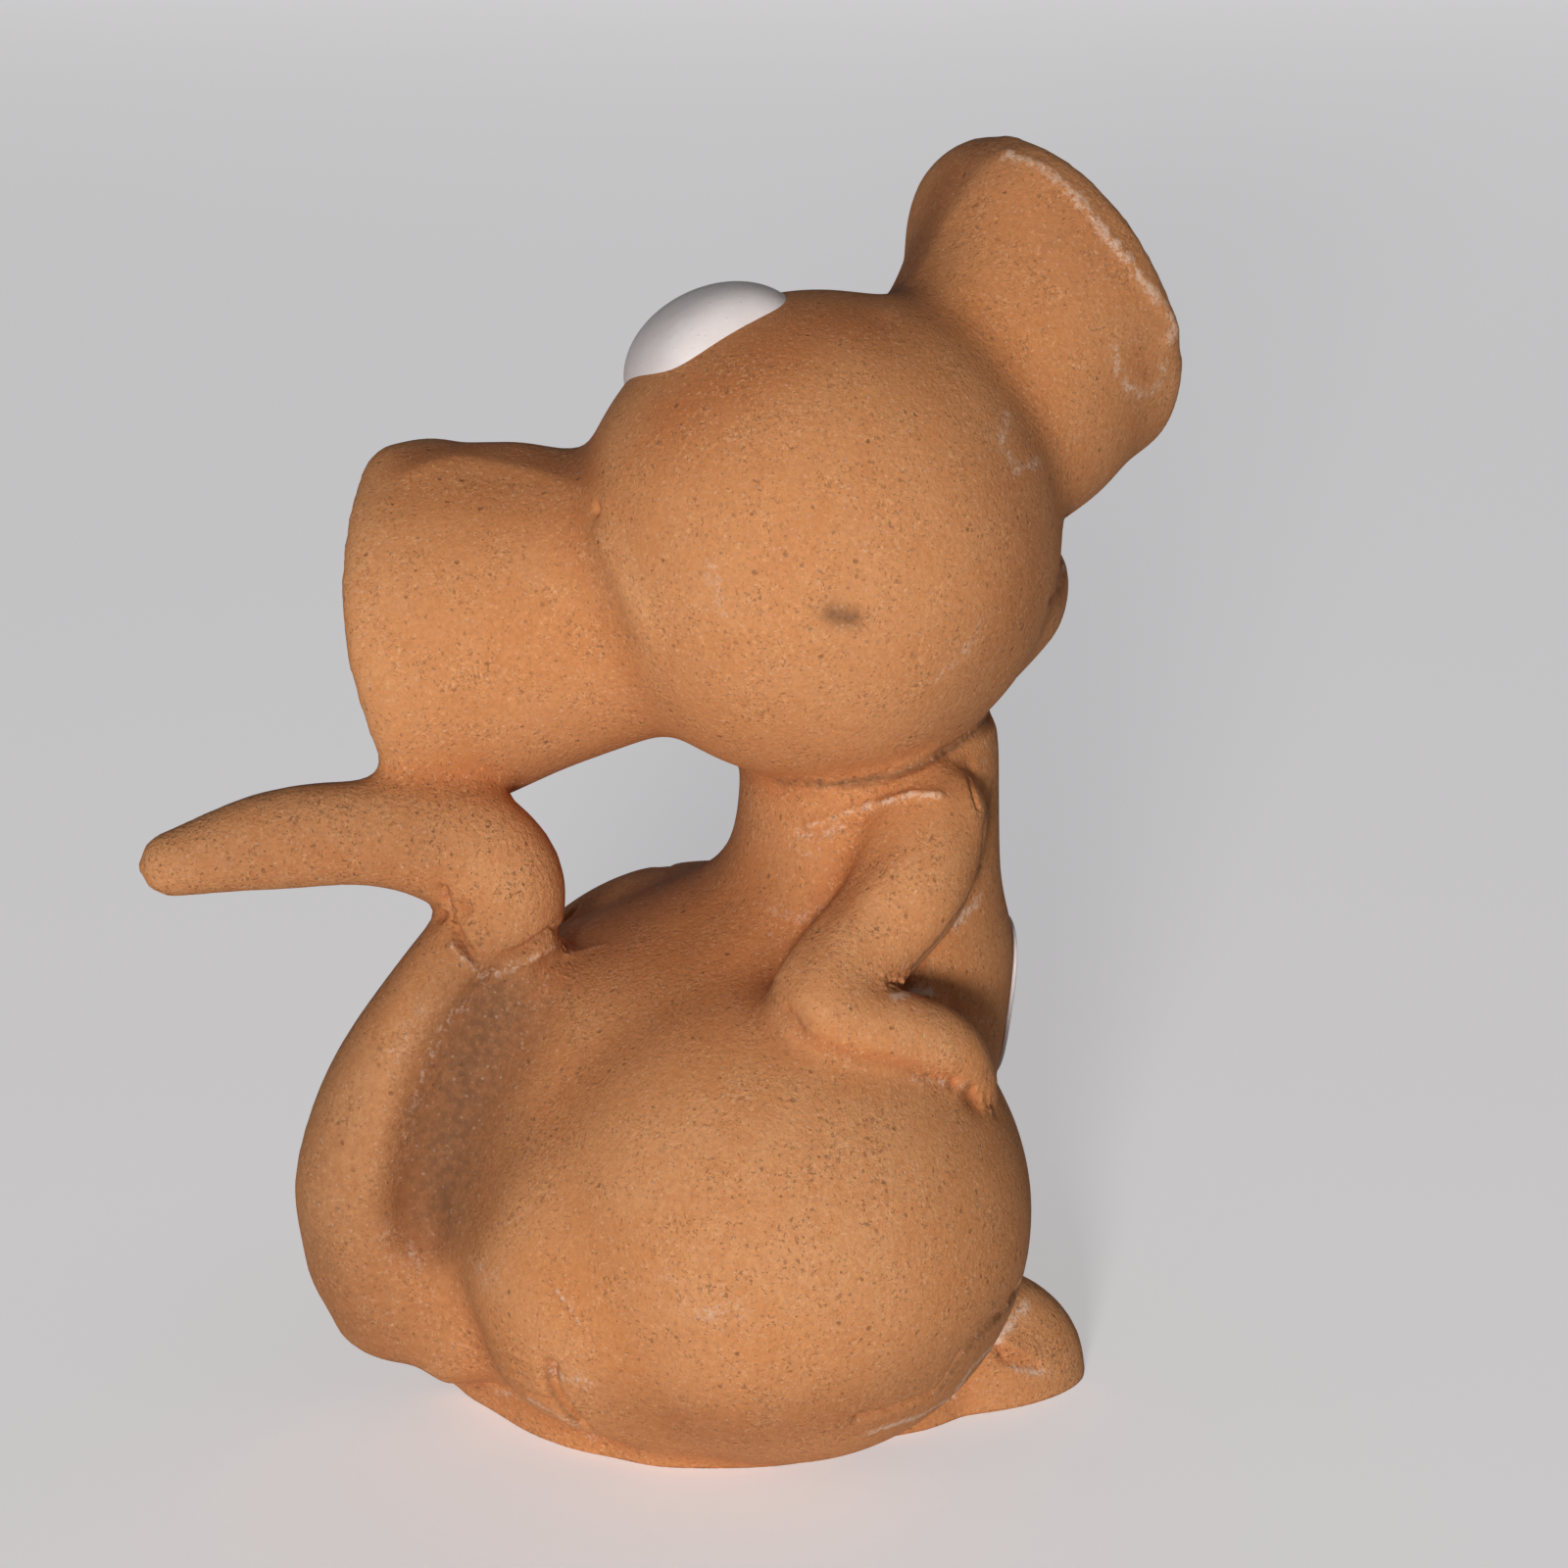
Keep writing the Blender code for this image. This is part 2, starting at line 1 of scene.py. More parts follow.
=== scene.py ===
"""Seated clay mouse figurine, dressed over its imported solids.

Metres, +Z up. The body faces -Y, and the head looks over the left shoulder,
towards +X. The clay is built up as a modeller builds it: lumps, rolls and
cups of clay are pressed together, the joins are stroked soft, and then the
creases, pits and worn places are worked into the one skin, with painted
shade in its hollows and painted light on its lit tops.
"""
import math

import bmesh
import bpy
import numpy as np
from bpy.props import FloatProperty, FloatVectorProperty, PointerProperty
from bpy.types import Operator, Panel, PropertyGroup
from mathutils import Matrix, Vector
from mathutils.bvhtree import BVHTree


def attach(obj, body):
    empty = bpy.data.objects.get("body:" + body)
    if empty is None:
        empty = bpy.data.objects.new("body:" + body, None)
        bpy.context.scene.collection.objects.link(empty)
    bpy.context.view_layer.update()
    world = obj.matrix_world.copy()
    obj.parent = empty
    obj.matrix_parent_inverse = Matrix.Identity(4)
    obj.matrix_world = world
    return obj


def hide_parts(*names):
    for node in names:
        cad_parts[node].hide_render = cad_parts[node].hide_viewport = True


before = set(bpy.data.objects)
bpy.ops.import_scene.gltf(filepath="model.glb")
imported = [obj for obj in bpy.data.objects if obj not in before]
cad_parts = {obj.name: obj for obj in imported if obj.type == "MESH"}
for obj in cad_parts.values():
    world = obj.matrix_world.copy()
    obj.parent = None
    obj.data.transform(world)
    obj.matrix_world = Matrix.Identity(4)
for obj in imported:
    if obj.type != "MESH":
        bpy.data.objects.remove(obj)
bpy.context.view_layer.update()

bl_info = {
    "name": "Clay Mouse Figurine",
    "version": (1, 0, 0),
    "blender": (4, 5, 0),
    "location": "3D View > Sidebar > Mouse",
    "description": "Builds a seated mouse of fired red clay with white clay eyes",
    "category": "Add Mesh",
}

# Body: heights up the pear, and how far it reaches back, forward and aside
HIP_HEIGHT = 0.0120
BELLY_HEIGHT = 0.0266
WAIST_HEIGHT = 0.0308
SHOULDER_TOP = 0.0345
PEAR_ROWS = (
    (0.0, 0.0160, 0.0125, 0.0130),
    (HIP_HEIGHT, 0.0196, 0.0150, 0.0152),
    (BELLY_HEIGHT, 0.0124, 0.0177, 0.0112),
    (WAIST_HEIGHT, 0.0012, 0.0166, 0.0096),
    (SHOULDER_TOP, -0.0008, 0.0164, 0.0091),
    (0.0421, -0.0008, 0.0165, 0.0072),
)
NECK_MIDDLE = -0.0086
NECK_GAP_HEIGHT = 0.0414
BASE_BACK = 0.0160

# Camera, read back from the photograph: metres, and pixels of its 1600 frame
VIEW_TURN_DEG = 255.0
VIEW_RISE_DEG = 18.0
VIEW_DISTANCE = 0.240
VIEW_FOCUS = 3960.0
GROUND_PIXEL = (745.0, 1390.0)
FRAME_PIXELS = 1600.0
SENSOR_WIDTH = 36.0

# How the clay is pressed and stroked
MM = 0.001
ROUGH_STEP = 0.0006
TRUNK_STROKES = 34
HEAD_STROKES = 26
JOIN_STROKES = 4
BALL_STEPS = (48, 28)
ROLL_SIDES = 28
RING_SIDES = 48
HAUNCH_ASIDE = 0.0092
TAIL_JOINT = Vector((0.0, 0.0142, 0.0290))
ANY_FACING = -2.0

# White clay
EYE_SINK = 0.0022
EYE_LEAN_DEG = 9.0
EYE_SPIN_DEG = 12.0
PUPIL_ASIDE = 0.44
PUPIL_AHEAD = 0.66
PUPIL_EDGE = (0.00112, 0.00100)
PUPIL_TONE = (0.022, 0.018, 0.016, 1.0)
TUMMY_HEIGHT = 0.0228
TUMMY_HALF_SIZE = (0.0040, 0.0050)
TUMMY_THICKNESS = 0.00026
TUMMY_SIDES = 64

# Stage
FLOOR_GLOW = 0.52
LAMP_AIM = Vector((0.0, 0.0, 0.034))
LAMP_DISTANCE = 0.9
ROOM_TONE = (0.92, 0.93, 0.96, 1.0)
ROOM_STRENGTH = 0.10


def size_field(name, description, default):
    """A size in metres that the panel offers."""
    return FloatProperty(name=name, description=description, default=default, unit="LENGTH", precision=6)


def turn_field(name, description, degrees):
    """A turn that the panel offers, given in degrees."""
    return FloatProperty(name=name, description=description, default=math.radians(degrees), unit="ROTATION")


def colour_field(name, description, *rgb):
    """A colour that the panel offers."""
    return FloatVectorProperty(
        name=name, description=description, subtype="COLOR", size=4, default=rgb + (1.0,), min=0.0, max=1.0)


class MouseSizes(PropertyGroup):
    """Sizes of the lumps and rolls that the figure is made from."""

    head_radius: size_field("Head Radius", "Half the width of the head ball", 0.0143)
    head_turn: turn_field("Head Turn", "How far the head looks over the left shoulder", 75.0)
    head_nod: turn_field("Head Nod", "How far the muzzle points down", 18.0)
    head_roll: turn_field("Head Roll", "How far the left ear dips", 28.0)
    ear_rim: size_field("Ear Rim Radius", "Half the width of an ear at its rim", 0.0108)
    ear_stem: size_field("Ear Stem Radius", "Half the width of an ear where it leaves the head", 0.0085)
    ear_wall: size_field("Ear Wall", "Thickness of the clay at an ear's rim", 0.0030)
    ear_cup: size_field("Ear Cup Depth", "Depth of the hollow in an ear", 0.0045)
    haunch_radius: size_field("Haunch Radius", "Radius of a haunch", 0.0148)
    spine_radius: size_field("Spine Radius", "Radius of the roll laid up the back", 0.0042)
    tail_radius: size_field("Tail Radius", "Radius of the free end of the tail", 0.0037)
    shoulder_radius: size_field("Shoulder Radius", "Radius of an arm at the shoulder", 0.0036)
    hand_radius: size_field("Hand Radius", "Radius of an arm at the hand", 0.0021)
    eye_half_width: size_field("Eye Half Width", "Half the depth of the white, crown to face", 0.0053)
    eye_half_height: size_field("Eye Half Length", "Half the length of the white over the crown", 0.0088)
    eye_proud: size_field("Eye Proud", "How far the white stands off the head", 0.0019)
    skin_step: size_field("Skin Step", "Mesh step of the finished clay skin", 0.00051)


class MouseFinish(PropertyGroup):
    """Colours of the clays, the dirt, the painted shade and light, and the floor."""

    clay: colour_field("Fired Clay", "Colour of the fired red clay", 0.62, 0.25, 0.088)
    # Deep clay also stands in as painted shade in the hollows and on the sides turned from the lamp.
    clay_deep_and_shade: colour_field("Deep Clay", "Redder clay in hollows and by the eyes", 0.47, 0.145, 0.045)
    # Rubbed clay also stands in as painted light on the tops that face the lamp.
    clay_pale_and_lit: colour_field("Rubbed Clay", "Paler, dustier clay on the high places", 0.73, 0.37, 0.17)
    # Grime also stands in as painted shade in the back valley, the creases and the gap under the head.
    grime_and_shade: colour_field("Grime", "Dark smudges and pits", 0.16, 0.075, 0.036)
    chalk: colour_field("Chalk", "Pale clay dust left in the creases", 0.78, 0.62, 0.50)
    white: colour_field("White Clay", "Colour of the white clay", 0.78, 0.72, 0.71)
    floor: colour_field("Floor", "Colour of the plain floor", 0.74, 0.73, 0.74)


def spline_value(rows, t):
    """Smooth value at t from rows of (t, value...), ends held."""
    if t <= rows[0][0]:
        return list(rows[0][1:])
    if t >= rows[-1][0]:
        return list(rows[-1][1:])
    i = 0
    while rows[i + 1][0] < t:
        i += 1
    a = rows[i]
    b = rows[i + 1]
    before = rows[i - 1] if i > 0 else a
    after = rows[i + 2] if i + 2 < len(rows) else b
    span = b[0] - a[0]
    s = (t - a[0]) / span
    out = []
    for k in range(1, len(a)):
        slope_a = (b[k] - before[k]) / (b[0] - before[0]) * span
        slope_b = (after[k] - a[k]) / (after[0] - a[0]) * span
        h1 = 2 * s ** 3 - 3 * s ** 2 + 1
        h2 = s ** 3 - 2 * s ** 2 + s
        h3 = 3 * s ** 2 - 2 * s ** 3
        h4 = s ** 3 - s ** 2
        out.append(h1 * a[k] + h2 * slope_a + h3 * b[k] + h4 * slope_b)
    return out


def body_point(height, angle_deg, out=0.0):
    """Point on the pear, with the angle from the front towards the right side."""
    back, front, half_width = spline_value(PEAR_ROWS, height)
    angle = math.radians(angle_deg)
    x = -(half_width + out) * math.sin(angle)
    y = (back - front) / 2 - ((back + front) / 2 + out) * math.cos(angle)
    return Vector((x, y, height))


def add_piece(name, bm):
    """Turn a bmesh into an object of the scene."""
    mesh = bpy.data.meshes.new(name)
    bm.to_mesh(mesh)
    bm.free()
    obj = bpy.data.objects.new(name, mesh)
    bpy.context.scene.collection.objects.link(obj)
    return obj


def settle(obj):
    """Turn an object's modifiers into its plain mesh."""
    bpy.context.view_layer.update()
    depsgraph = bpy.context.evaluated_depsgraph_get()
    mesh = bpy.data.meshes.new_from_object(obj.evaluated_get(depsgraph))
    old = obj.data
    obj.modifiers.clear()
    obj.data = mesh
    bpy.data.meshes.remove(old)
    return obj


def ring(bm, centre, across, upward, half_width, half_height, count):
    """One round edge of clay, a circle placed across the form."""
    made = bmesh.ops.create_circle(bm, cap_ends=False, segments=count, radius=1.0)
    through = across.cross(upward)
    place = Matrix((across * half_width, upward * half_height, through)).transposed().to_4x4()
    place.translation = centre
    bmesh.ops.transform(bm, matrix=place, verts=made["verts"])
    return list(dict.fromkeys(edge for vert in made["verts"] for edge in vert.link_edges))


def bridge_rings(bm, rings):
    """Skin a row of rings and close both ends."""
    for low, high in zip(rings, rings[1:]):
        bmesh.ops.bridge_loops(bm, edges=low + high)
    bmesh.ops.edgeloop_fill(bm, edges=rings[0])
    bmesh.ops.edgeloop_fill(bm, edges=rings[-1])


def press_lump(bm, centre, radii, turn=None):
    """A pinch of clay: a ball stretched to three radii."""
    turned = turn.to_4x4() if turn else Matrix.Identity(4)
    place = Matrix.Translation(centre) @ turned @ Matrix.Diagonal((*radii, 1.0))
    around, upward = BALL_STEPS
    bmesh.ops.create_uvsphere(bm, u_segments=around, v_segments=upward, radius=1.0, matrix=place)


def press_ball(bm, place, radius):
    """A round ball of clay."""
    press_lump(bm, Vector(place), (radius, radius, radius))


def roll_clay(bm, points, radii):
    """A roll of clay along a smooth line, with round ends."""
    lengths = [0.0]
    for a, b in zip(points, points[1:]):
        lengths.append(lengths[-1] + (b - a).length)
    rows = [(s, p.x, p.y, p.z, r) for s, p, r in zip(lengths, points, radii)]
    steps = 6 * (len(points) - 1)
    line = [spline_value(rows, lengths[-1] * i / steps) for i in range(steps + 1)]
    rings = []
    across = None
    for i, (x, y, z, radius) in enumerate(line):
        ahead = Vector(line[min(i + 1, steps)][:3]) - Vector(line[max(i - 1, 0)][:3])
        ahead.normalize()
        if across is None:
            across = ahead.orthogonal().normalized()
        across = (across - ahead * across.dot(ahead)).normalized()
        rings.append(ring(bm, Vector((x, y, z)), across, ahead.cross(across), radius, radius, ROLL_SIDES))
    bridge_rings(bm, rings)
    for point, radius in ((points[0], radii[0]), (points[-1], radii[-1])):
        press_ball(bm, point, radius)


def thumb_together(name, bm, step, passes, smooth_level=0, softness=None):
    """Press the pieces of clay in a bmesh into one, and stroke the joins soft, all over or by place."""
    bmesh.ops.recalc_face_normals(bm, faces=bm.faces)
    obj = add_piece(name, bm)
    remesh = obj.modifiers.new("press", "REMESH")
    remesh.mode = "VOXEL"
    remesh.voxel_size = step
    settle(obj)
    if passes:
        smooth = obj.modifiers.new("stroke", "SMOOTH")
        smooth.factor = 0.5
        smooth.iterations = passes
        if softness:
            soft = obj.vertex_groups.new(name="soft")
            for vert in obj.data.vertices:
                soft.add([vert.index], softness(vert.co), "REPLACE")
            smooth.vertex_group = "soft"
    if smooth_level:
        finer = obj.modifiers.new("finer", "SUBSURF")
        finer.levels = smooth_level
        finer.render_levels = smooth_level
    return settle(obj)


def head_frame(sizes):
    """Turn of the head: local +Y is the face, +Z the crown, +X the right ear."""
    turn = Matrix.Rotation(math.radians(180.0) + sizes.head_turn, 3, "Z")
    nod = Matrix.Rotation(-sizes.head_nod, 3, "X")
    roll = Matrix.Rotation(-sizes.head_roll, 3, "Y")
    return turn @ nod @ roll


def head_centre(sizes):
    """Middle of the head ball, sunk a little into the neck."""
    return Vector((0.0, NECK_MIDDLE + 0.0031, 0.0410 + sizes.head_radius - 0.0030))


def ear_axis(side):
    """Middle of an ear's rim and the way it points, as if it were the right ear."""
    right = side > 0
    reach = 0.0205 if right else 0.0243
    splay = math.radians(24.0 if right else 18.0)
    tilt = math.radians(6.0 if right else 20.0)
    out = Vector((math.cos(splay) * math.cos(tilt), math.sin(splay), math.sin(tilt))).normalized()
    return Vector((reach, reach * math.tan(splay) - 0.0010, 0.0066)), out


def ear_in_place(sizes, side):
    """Middle of an ear's rim and the way it points, where the head carries it."""
    rim, out = ear_axis(side)
    mirror = Matrix.Diagonal((float(side), 1.0, 1.0))
    turn = head_frame(sizes) @ mirror
    return head_centre(sizes) + turn @ rim, turn @ out


def cup_ear(bm, sizes, side):
    """A flared ear with a hollow in its end, turned with the head."""
    right = side > 0
    rim, out = ear_axis(side)
    across = Vector((0.0, 0.0, 1.0)).cross(out).normalized()
    upward = out.cross(across).normalized()
    wall = sizes.ear_wall
    stem = Vector((sizes.head_radius * 0.80, rim.y * 0.38, 0.0022))
    root = Vector((sizes.head_radius * 0.30, 0.0, 0.0))
    cup = sizes.ear_rim - wall
    flare = sizes.ear_rim - sizes.ear_stem
    path = (
        (root, sizes.ear_stem * 0.90),
        (stem, sizes.ear_stem),
        (stem.lerp(rim, 0.40), sizes.ear_stem + flare * 0.42),
        (rim - out * wall * 1.15, sizes.ear_stem + flare * 0.95),
        (rim - out * wall * 0.55, sizes.ear_rim),
        (rim - out * wall * 0.20, sizes.ear_rim - wall * 0.05),
        (rim + out * wall * 0.02, sizes.ear_rim - wall * 0.24),
        (rim + out * wall * 0.04, sizes.ear_rim - wall * 0.62),
        (rim - out * wall * 0.10, sizes.ear_rim - wall * 0.88),
        (rim - out * sizes.ear_cup * 0.40, cup * 0.88),
        (rim - out * sizes.ear_cup * 0.78, cup * 0.62),
        (rim - out * sizes.ear_cup, cup * 0.25),
    )
    turn = head_frame(sizes)
    centre = head_centre(sizes)
    mirror = Matrix.Diagonal((1.0 if right else -1.0, 1.0, 1.0))
    rings = []
    for place, radius in path:
        middle = centre + turn @ (mirror @ place)
        ways = (turn @ (mirror @ across), turn @ (mirror @ upward))
        rings.append(ring(bm, middle, *ways, radius, radius, RING_SIDES))
    bridge_rings(bm, rings)


def build_trunk(sizes):
    """Pear, haunches, flanks and the roll up the back, thumbed together."""
    bm = bmesh.new()
    rings = []
    top = PEAR_ROWS[-1][0]
    ways = (Vector((1.0, 0.0, 0.0)), Vector((0.0, 1.0, 0.0)))
    for i in range(29):
        height = -0.002 + (top + 0.002) * i / 28
        back, front, half_width = spline_value(PEAR_ROWS, height)
        centre = Vector((0.0, (back - front) / 2, height))
        rings.append(ring(bm, centre, *ways, half_width, (back + front) / 2, RING_SIDES))
    bridge_rings(bm, rings)
    for side in (-1, 1):
        press_ball(bm, (side * HAUNCH_ASIDE, -0.0008, 0.0142), sizes.haunch_radius)
        press_ball(bm, (side * HAUNCH_ASIDE * 0.70, 0.0062, 0.0112), 0.0120)
        press_ball(bm, (side * 0.0038, 0.0076, 0.0052), 0.0080)
    spine = sizes.spine_radius
    press_ball(bm, (0.0, BASE_BACK - 0.0010, spine), spine * 1.15)
    press_ball(bm, (0.0, 0.0156, 0.0080), 0.0068)
    line = []
    for share in (0.23, 0.40, 0.58, 0.77, 0.96):
        line.append(body_point(BELLY_HEIGHT * share, 180.0) + Vector((0.0, 0.0034, 0.0)))
    line.append(TAIL_JOINT)
    roll_clay(bm, line, [spine * s for s in (0.90, 1.0, 1.0, 1.0, 0.98, 0.92)])
    return thumb_together("trunk", bm, ROUGH_STEP, TRUNK_STROKES, 1)


def build_head(sizes):
    """Head ball and ears, thumbed together, with the rims left crisp."""
    bm = bmesh.new()
    press_ball(bm, head_centre(sizes), sizes.head_radius)
    cup_ear(bm, sizes, 1)
    cup_ear(bm, sizes, -1)
    ears = [ear_in_place(sizes, side) for side in (-1, 1)]

    def softness(place):
        softest = 1.0
        for rim, out in ears:
            if (place - rim).length < sizes.ear_rim * 1.35:
                back = (rim - place).dot(out) / sizes.ear_rim
                softest = min(softest, max(0.10, min(1.0, back * 3.2)))
        return softest

    return thumb_together("head", bm, ROUGH_STEP, HEAD_STROKES, 1, softness)


def add_muzzle(bm, sizes):
    """The wide muzzle under the face, and the nose on it."""
    turn = head_frame(sizes)
    centre = head_centre(sizes)
    ahead = sizes.head_radius * 0.62
    drop = -sizes.head_radius * 0.56
    size = (0.0120, sizes.head_radius * 0.38 + 0.0045, 0.0056)
    press_lump(bm, centre + turn @ Vector((0.0012, ahead, drop)), size, turn)
    nose = 0.0026
    tip = Vector((0.0012, ahead + size[1] - nose * 0.2, drop + size[2] * 0.4))
    press_ball(bm, centre + turn @ tip, nose)


def add_tail(bm, sizes):
    """The free end of the tail, luted on top of the roll up the back."""
    rim, out = ear_in_place(sizes, -1)
    middle = rim - out * sizes.ear_wall * 0.60
    top = middle.z - sizes.ear_rim * math.sqrt(1.0 - out.z ** 2) + 0.0005
    points = (
        TAIL_JOINT,
        TAIL_JOINT + Vector((0.0004, -0.0008, (top - TAIL_JOINT.z) * 0.55)),
        Vector((0.0014, TAIL_JOINT.y + 0.0016, top - 0.0004)),
        Vector((0.0026, TAIL_JOINT.y + 0.0065, top + 0.0004)),
        Vector((0.0038, TAIL_JOINT.y + 0.0122, top)),
        Vector((0.0046, TAIL_JOINT.y + 0.0180, top - 0.0012)),
    )
    spine = sizes.spine_radius
    tail = sizes.tail_radius
    roll_clay(bm, points, (spine * 0.86, spine * 0.88, tail * 1.06, tail * 0.86, tail * 0.80, 0.0020))


def add_arm(bm, sizes, side):
    """One arm: a roll from the shoulder back to the elbow, and forward over the haunch."""
    shoulder = sizes.shoulder_radius
    hand = sizes.hand_radius
    if side < 0:
        path = (
            (0.0078, -0.0101, 0.0370, shoulder * 0.96),
            (0.0104, -0.0081, 0.0340, shoulder * 0.93),
            (0.0112, -0.0059, 0.0318, shoulder * 0.88),
            (0.0124, -0.0035, 0.0302, shoulder * 0.84),
            (0.0141, -0.0018, 0.0287, shoulder * 0.82),
            (0.0152, -0.0038, 0.0275, shoulder * 0.74),
            (0.0154, -0.0064, 0.0270, shoulder * 0.68),
            (0.0148, -0.0089, 0.0255, hand * 1.12),
            (0.0136, -0.0105, 0.0230, hand),
        )
    else:
        path = (
            (0.0078, -0.0101, 0.0366, shoulder * 0.96),
            (0.0103, -0.0086, 0.0324, shoulder * 0.93),
            (0.0128, -0.0070, 0.0280, shoulder * 0.86),
            (0.0128, -0.0094, 0.0250, shoulder * 0.72),
            (0.0112, -0.0118, 0.0225, hand),
        )
    roll_clay(bm, [Vector((side * x, y, z)) for x, y, z, _ in path], [row[3] for row in path])


def add_foot(bm, side):
    """One foot: a half drop of clay that comes out from under the haunch."""
    press_lump(bm, Vector((side * 0.0060, -0.0130, 0.0)), (0.0046, 0.0080, 0.0075))
    press_lump(bm, Vector((side * 0.0078, -0.0072, 0.0)), (0.0042, 0.0060, 0.0040))


def cut_flat(bm):
    """Slice the clay off at the ground, and close it with one flat face."""
    geometry = list(bm.verts) + list(bm.edges) + list(bm.faces)
    up = Vector((0.0, 0.0, 1.0))
    bmesh.ops.bisect_plane(
        bm, geom=geometry, dist=0.00001, plane_co=Vector((0.0, 0.0, 0.0)), plane_no=up, clear_inner=True)
    bmesh.ops.remove_doubles(bm, verts=bm.verts, dist=0.00002)
    bmesh.ops.holes_fill(bm, edges=[edge for edge in bm.edges if edge.is_boundary], sides=0)


def keep_largest(bm):
    """Drop stray crumbs of clay."""
    left = set(bm.verts)
    groups = []
    for start in bm.verts:
        if start not in left:
            continue
        left.discard(start)
        found = [start]
        for vert in found:
            for edge in vert.link_edges:
                other = edge.other_vert(vert)
                if other in left:
                    left.discard(other)
                    found.append(other)
        groups.append(found)
    groups.sort(key=len, reverse=True)
    for crumbs in groups[1:]:
        bmesh.ops.delete(bm, geom=crumbs, context="VERTS")


class Camera:
    """The photograph's camera: casts a pixel of 1600 onto the clay."""

    def __init__(self):
        turn = math.radians(VIEW_TURN_DEG)
        rise = math.radians(VIEW_RISE_DEG)
        self.right = Vector((math.cos(turn), math.sin(turn), 0.0))
        level = Vector((math.sin(turn), -math.cos(turn), 0.0))
        self.back = (level * math.cos(rise) + Vector((0.0, 0.0, math.sin(rise)))).normalized()
        self.up = self.back.cross(self.right).normalized()
        per_metre = VIEW_FOCUS / VIEW_DISTANCE
        aim_x = (FRAME_PIXELS / 2 - GROUND_PIXEL[0]) / per_metre
        aim_y = (GROUND_PIXEL[1] - FRAME_PIXELS / 2) / per_metre
        self.place = self.right * aim_x + self.up * aim_y + self.back * VIEW_DISTANCE

    def ray(self, pixel):
        """The way from the camera through a pixel."""
        x = (pixel[0] - FRAME_PIXELS / 2) / VIEW_FOCUS
        y = (FRAME_PIXELS / 2 - pixel[1]) / VIEW_FOCUS
        return (self.right * x + self.up * y - self.back).normalized()


class Skin:
    """The clay skin as arrays, with the strokes that work it."""

    def __init__(self, obj):
        self.obj = obj
        mesh = obj.data
        self.count = len(mesh.vertices)
        flat = np.zeros(self.count * 3)
        mesh.vertices.foreach_get("co", flat)
        self.points = flat.reshape(-1, 3)
        pairs = np.zeros(len(mesh.edges) * 2, np.int64)
        mesh.edges.foreach_get("vertices", pairs)
        self.pairs = pairs.reshape(-1, 2)
        self.links = np.bincount(self.pairs.ravel(), minlength=self.count).astype(float)
        self.camera = Camera()
        self.refresh()

    def refresh(self):
        """Put the worked points back into the mesh, and read its normals again."""
        mesh = self.obj.data
        mesh.vertices.foreach_set("co", self.points.ravel())
        mesh.update()
        flat = np.zeros(self.count * 3)
        mesh.vertex_normals.foreach_get("vector", flat)
        self.normals = flat.reshape(-1, 3)
        faces = [tuple(face.vertices) for face in mesh.polygons]
        self.tree = BVHTree.FromPolygons([Vector(point) for point in self.points], faces)

    def seen(self, pixel):
        """The place on the clay under a pixel of the photograph."""
        way = self.camera.ray(pixel)
        hit = self.tree.ray_cast(self.camera.place, way)
        if hit[0] is None:
            middle = Vector((0.0, 0.0, 0.030)) - self.camera.place
            hit = self.tree.find_nearest(self.camera.place + way * middle.dot(way))
        return np.array(hit[0]), np.array(hit[1])

    def traced(self, pixels):
        """A line on the clay, from pixels, with steps between them."""
        line = []
        for a, b in zip(pixels, pixels[1:]):
            steps = max(1, int(math.dist(a, b) / 10.0))
            for i in range(steps):
                line.append((a[0] + (b[0] - a[0]) * i / steps, a[1] + (b[1] - a[1]) * i / steps))
        line.append(pixels[-1])
        return [self.seen(pixel) for pixel in line]

    def under_ball(self, centre, radius, low, high):
        """A line on the clay just outside a ball's outline, between two angles of the view."""
        middle = centre - self.camera.place
        depth = -middle.dot(self.camera.back)
        reach = 1.014 * radius * VIEW_FOCUS / math.sqrt(depth ** 2 - radius ** 2)
        x = FRAME_PIXELS / 2 + middle.dot(self.camera.right) / depth * VIEW_FOCUS
        y = FRAME_PIXELS / 2 - middle.dot(self.camera.up) / depth * VIEW_FOCUS
        pixels = []
        for i in range(25):
            angle = math.radians(low + (high - low) * i / 24)
            pixels.append((x + reach * math.cos(angle), y - reach * math.sin(angle)))
        return [self.seen(pixel) for pixel in pixels]

    def laid(self, places):
        """A line of places in the air, laid on the nearest clay."""
        hits = [self.tree.find_nearest(place) for place in places]
        return [(np.array(hit[0]), np.array(hit[1])) for hit in hits]

    def other_side(self, line):
        """The same line on the other side of the body, laid on the clay there."""
        return self.laid([Vector((-point[0], point[1], point[2])) for point, _ in line])

    def near(self, line, width, facing=0.1):
        """How close each point of the skin is to a line, 1 on it and 0 away."""
        places = np.array([point for point, _ in line])
        ways = np.array([way for _, way in line])
        reach = width * 3.0
        low = places.min(0) - reach
        high = places.max(0) + reach
        inside = np.nonzero(((self.points > low) & (self.points < high)).all(1))[0]
        best = np.full(len(inside), 1e9)
        toward = np.zeros((len(inside), 3))
        spot = self.points[inside]
        if len(places) == 1:
            best = np.linalg.norm(spot - places[0], axis=1)
            toward[:] = ways[0]
        for i in range(len(places) - 1):
            a = places[i]
            along = places[i + 1] - a
            length = max((along ** 2).sum(), 1e-14)
            share = np.clip(((spot - a) @ along) / length, 0.0, 1.0)
            gap = np.sqrt(((spot - (a + share[:, None] * along)) ** 2).sum(1))
            closer = gap < best
            best[closer] = gap[closer]
            toward[closer] = ways[i]
        value = np.exp(-(best / width) ** 2)
        value *= (self.normals[inside] * toward).sum(1) > facing
        out = np.zeros(self.count)
        out[inside] = value
        return out

    def work(self, line, width, depth, facing=0.1):
        """Press a line into the clay, or raise it with a negative depth."""
        value = self.near(line, width, facing)
        self.points -= self.normals * (value * depth)[:, None]

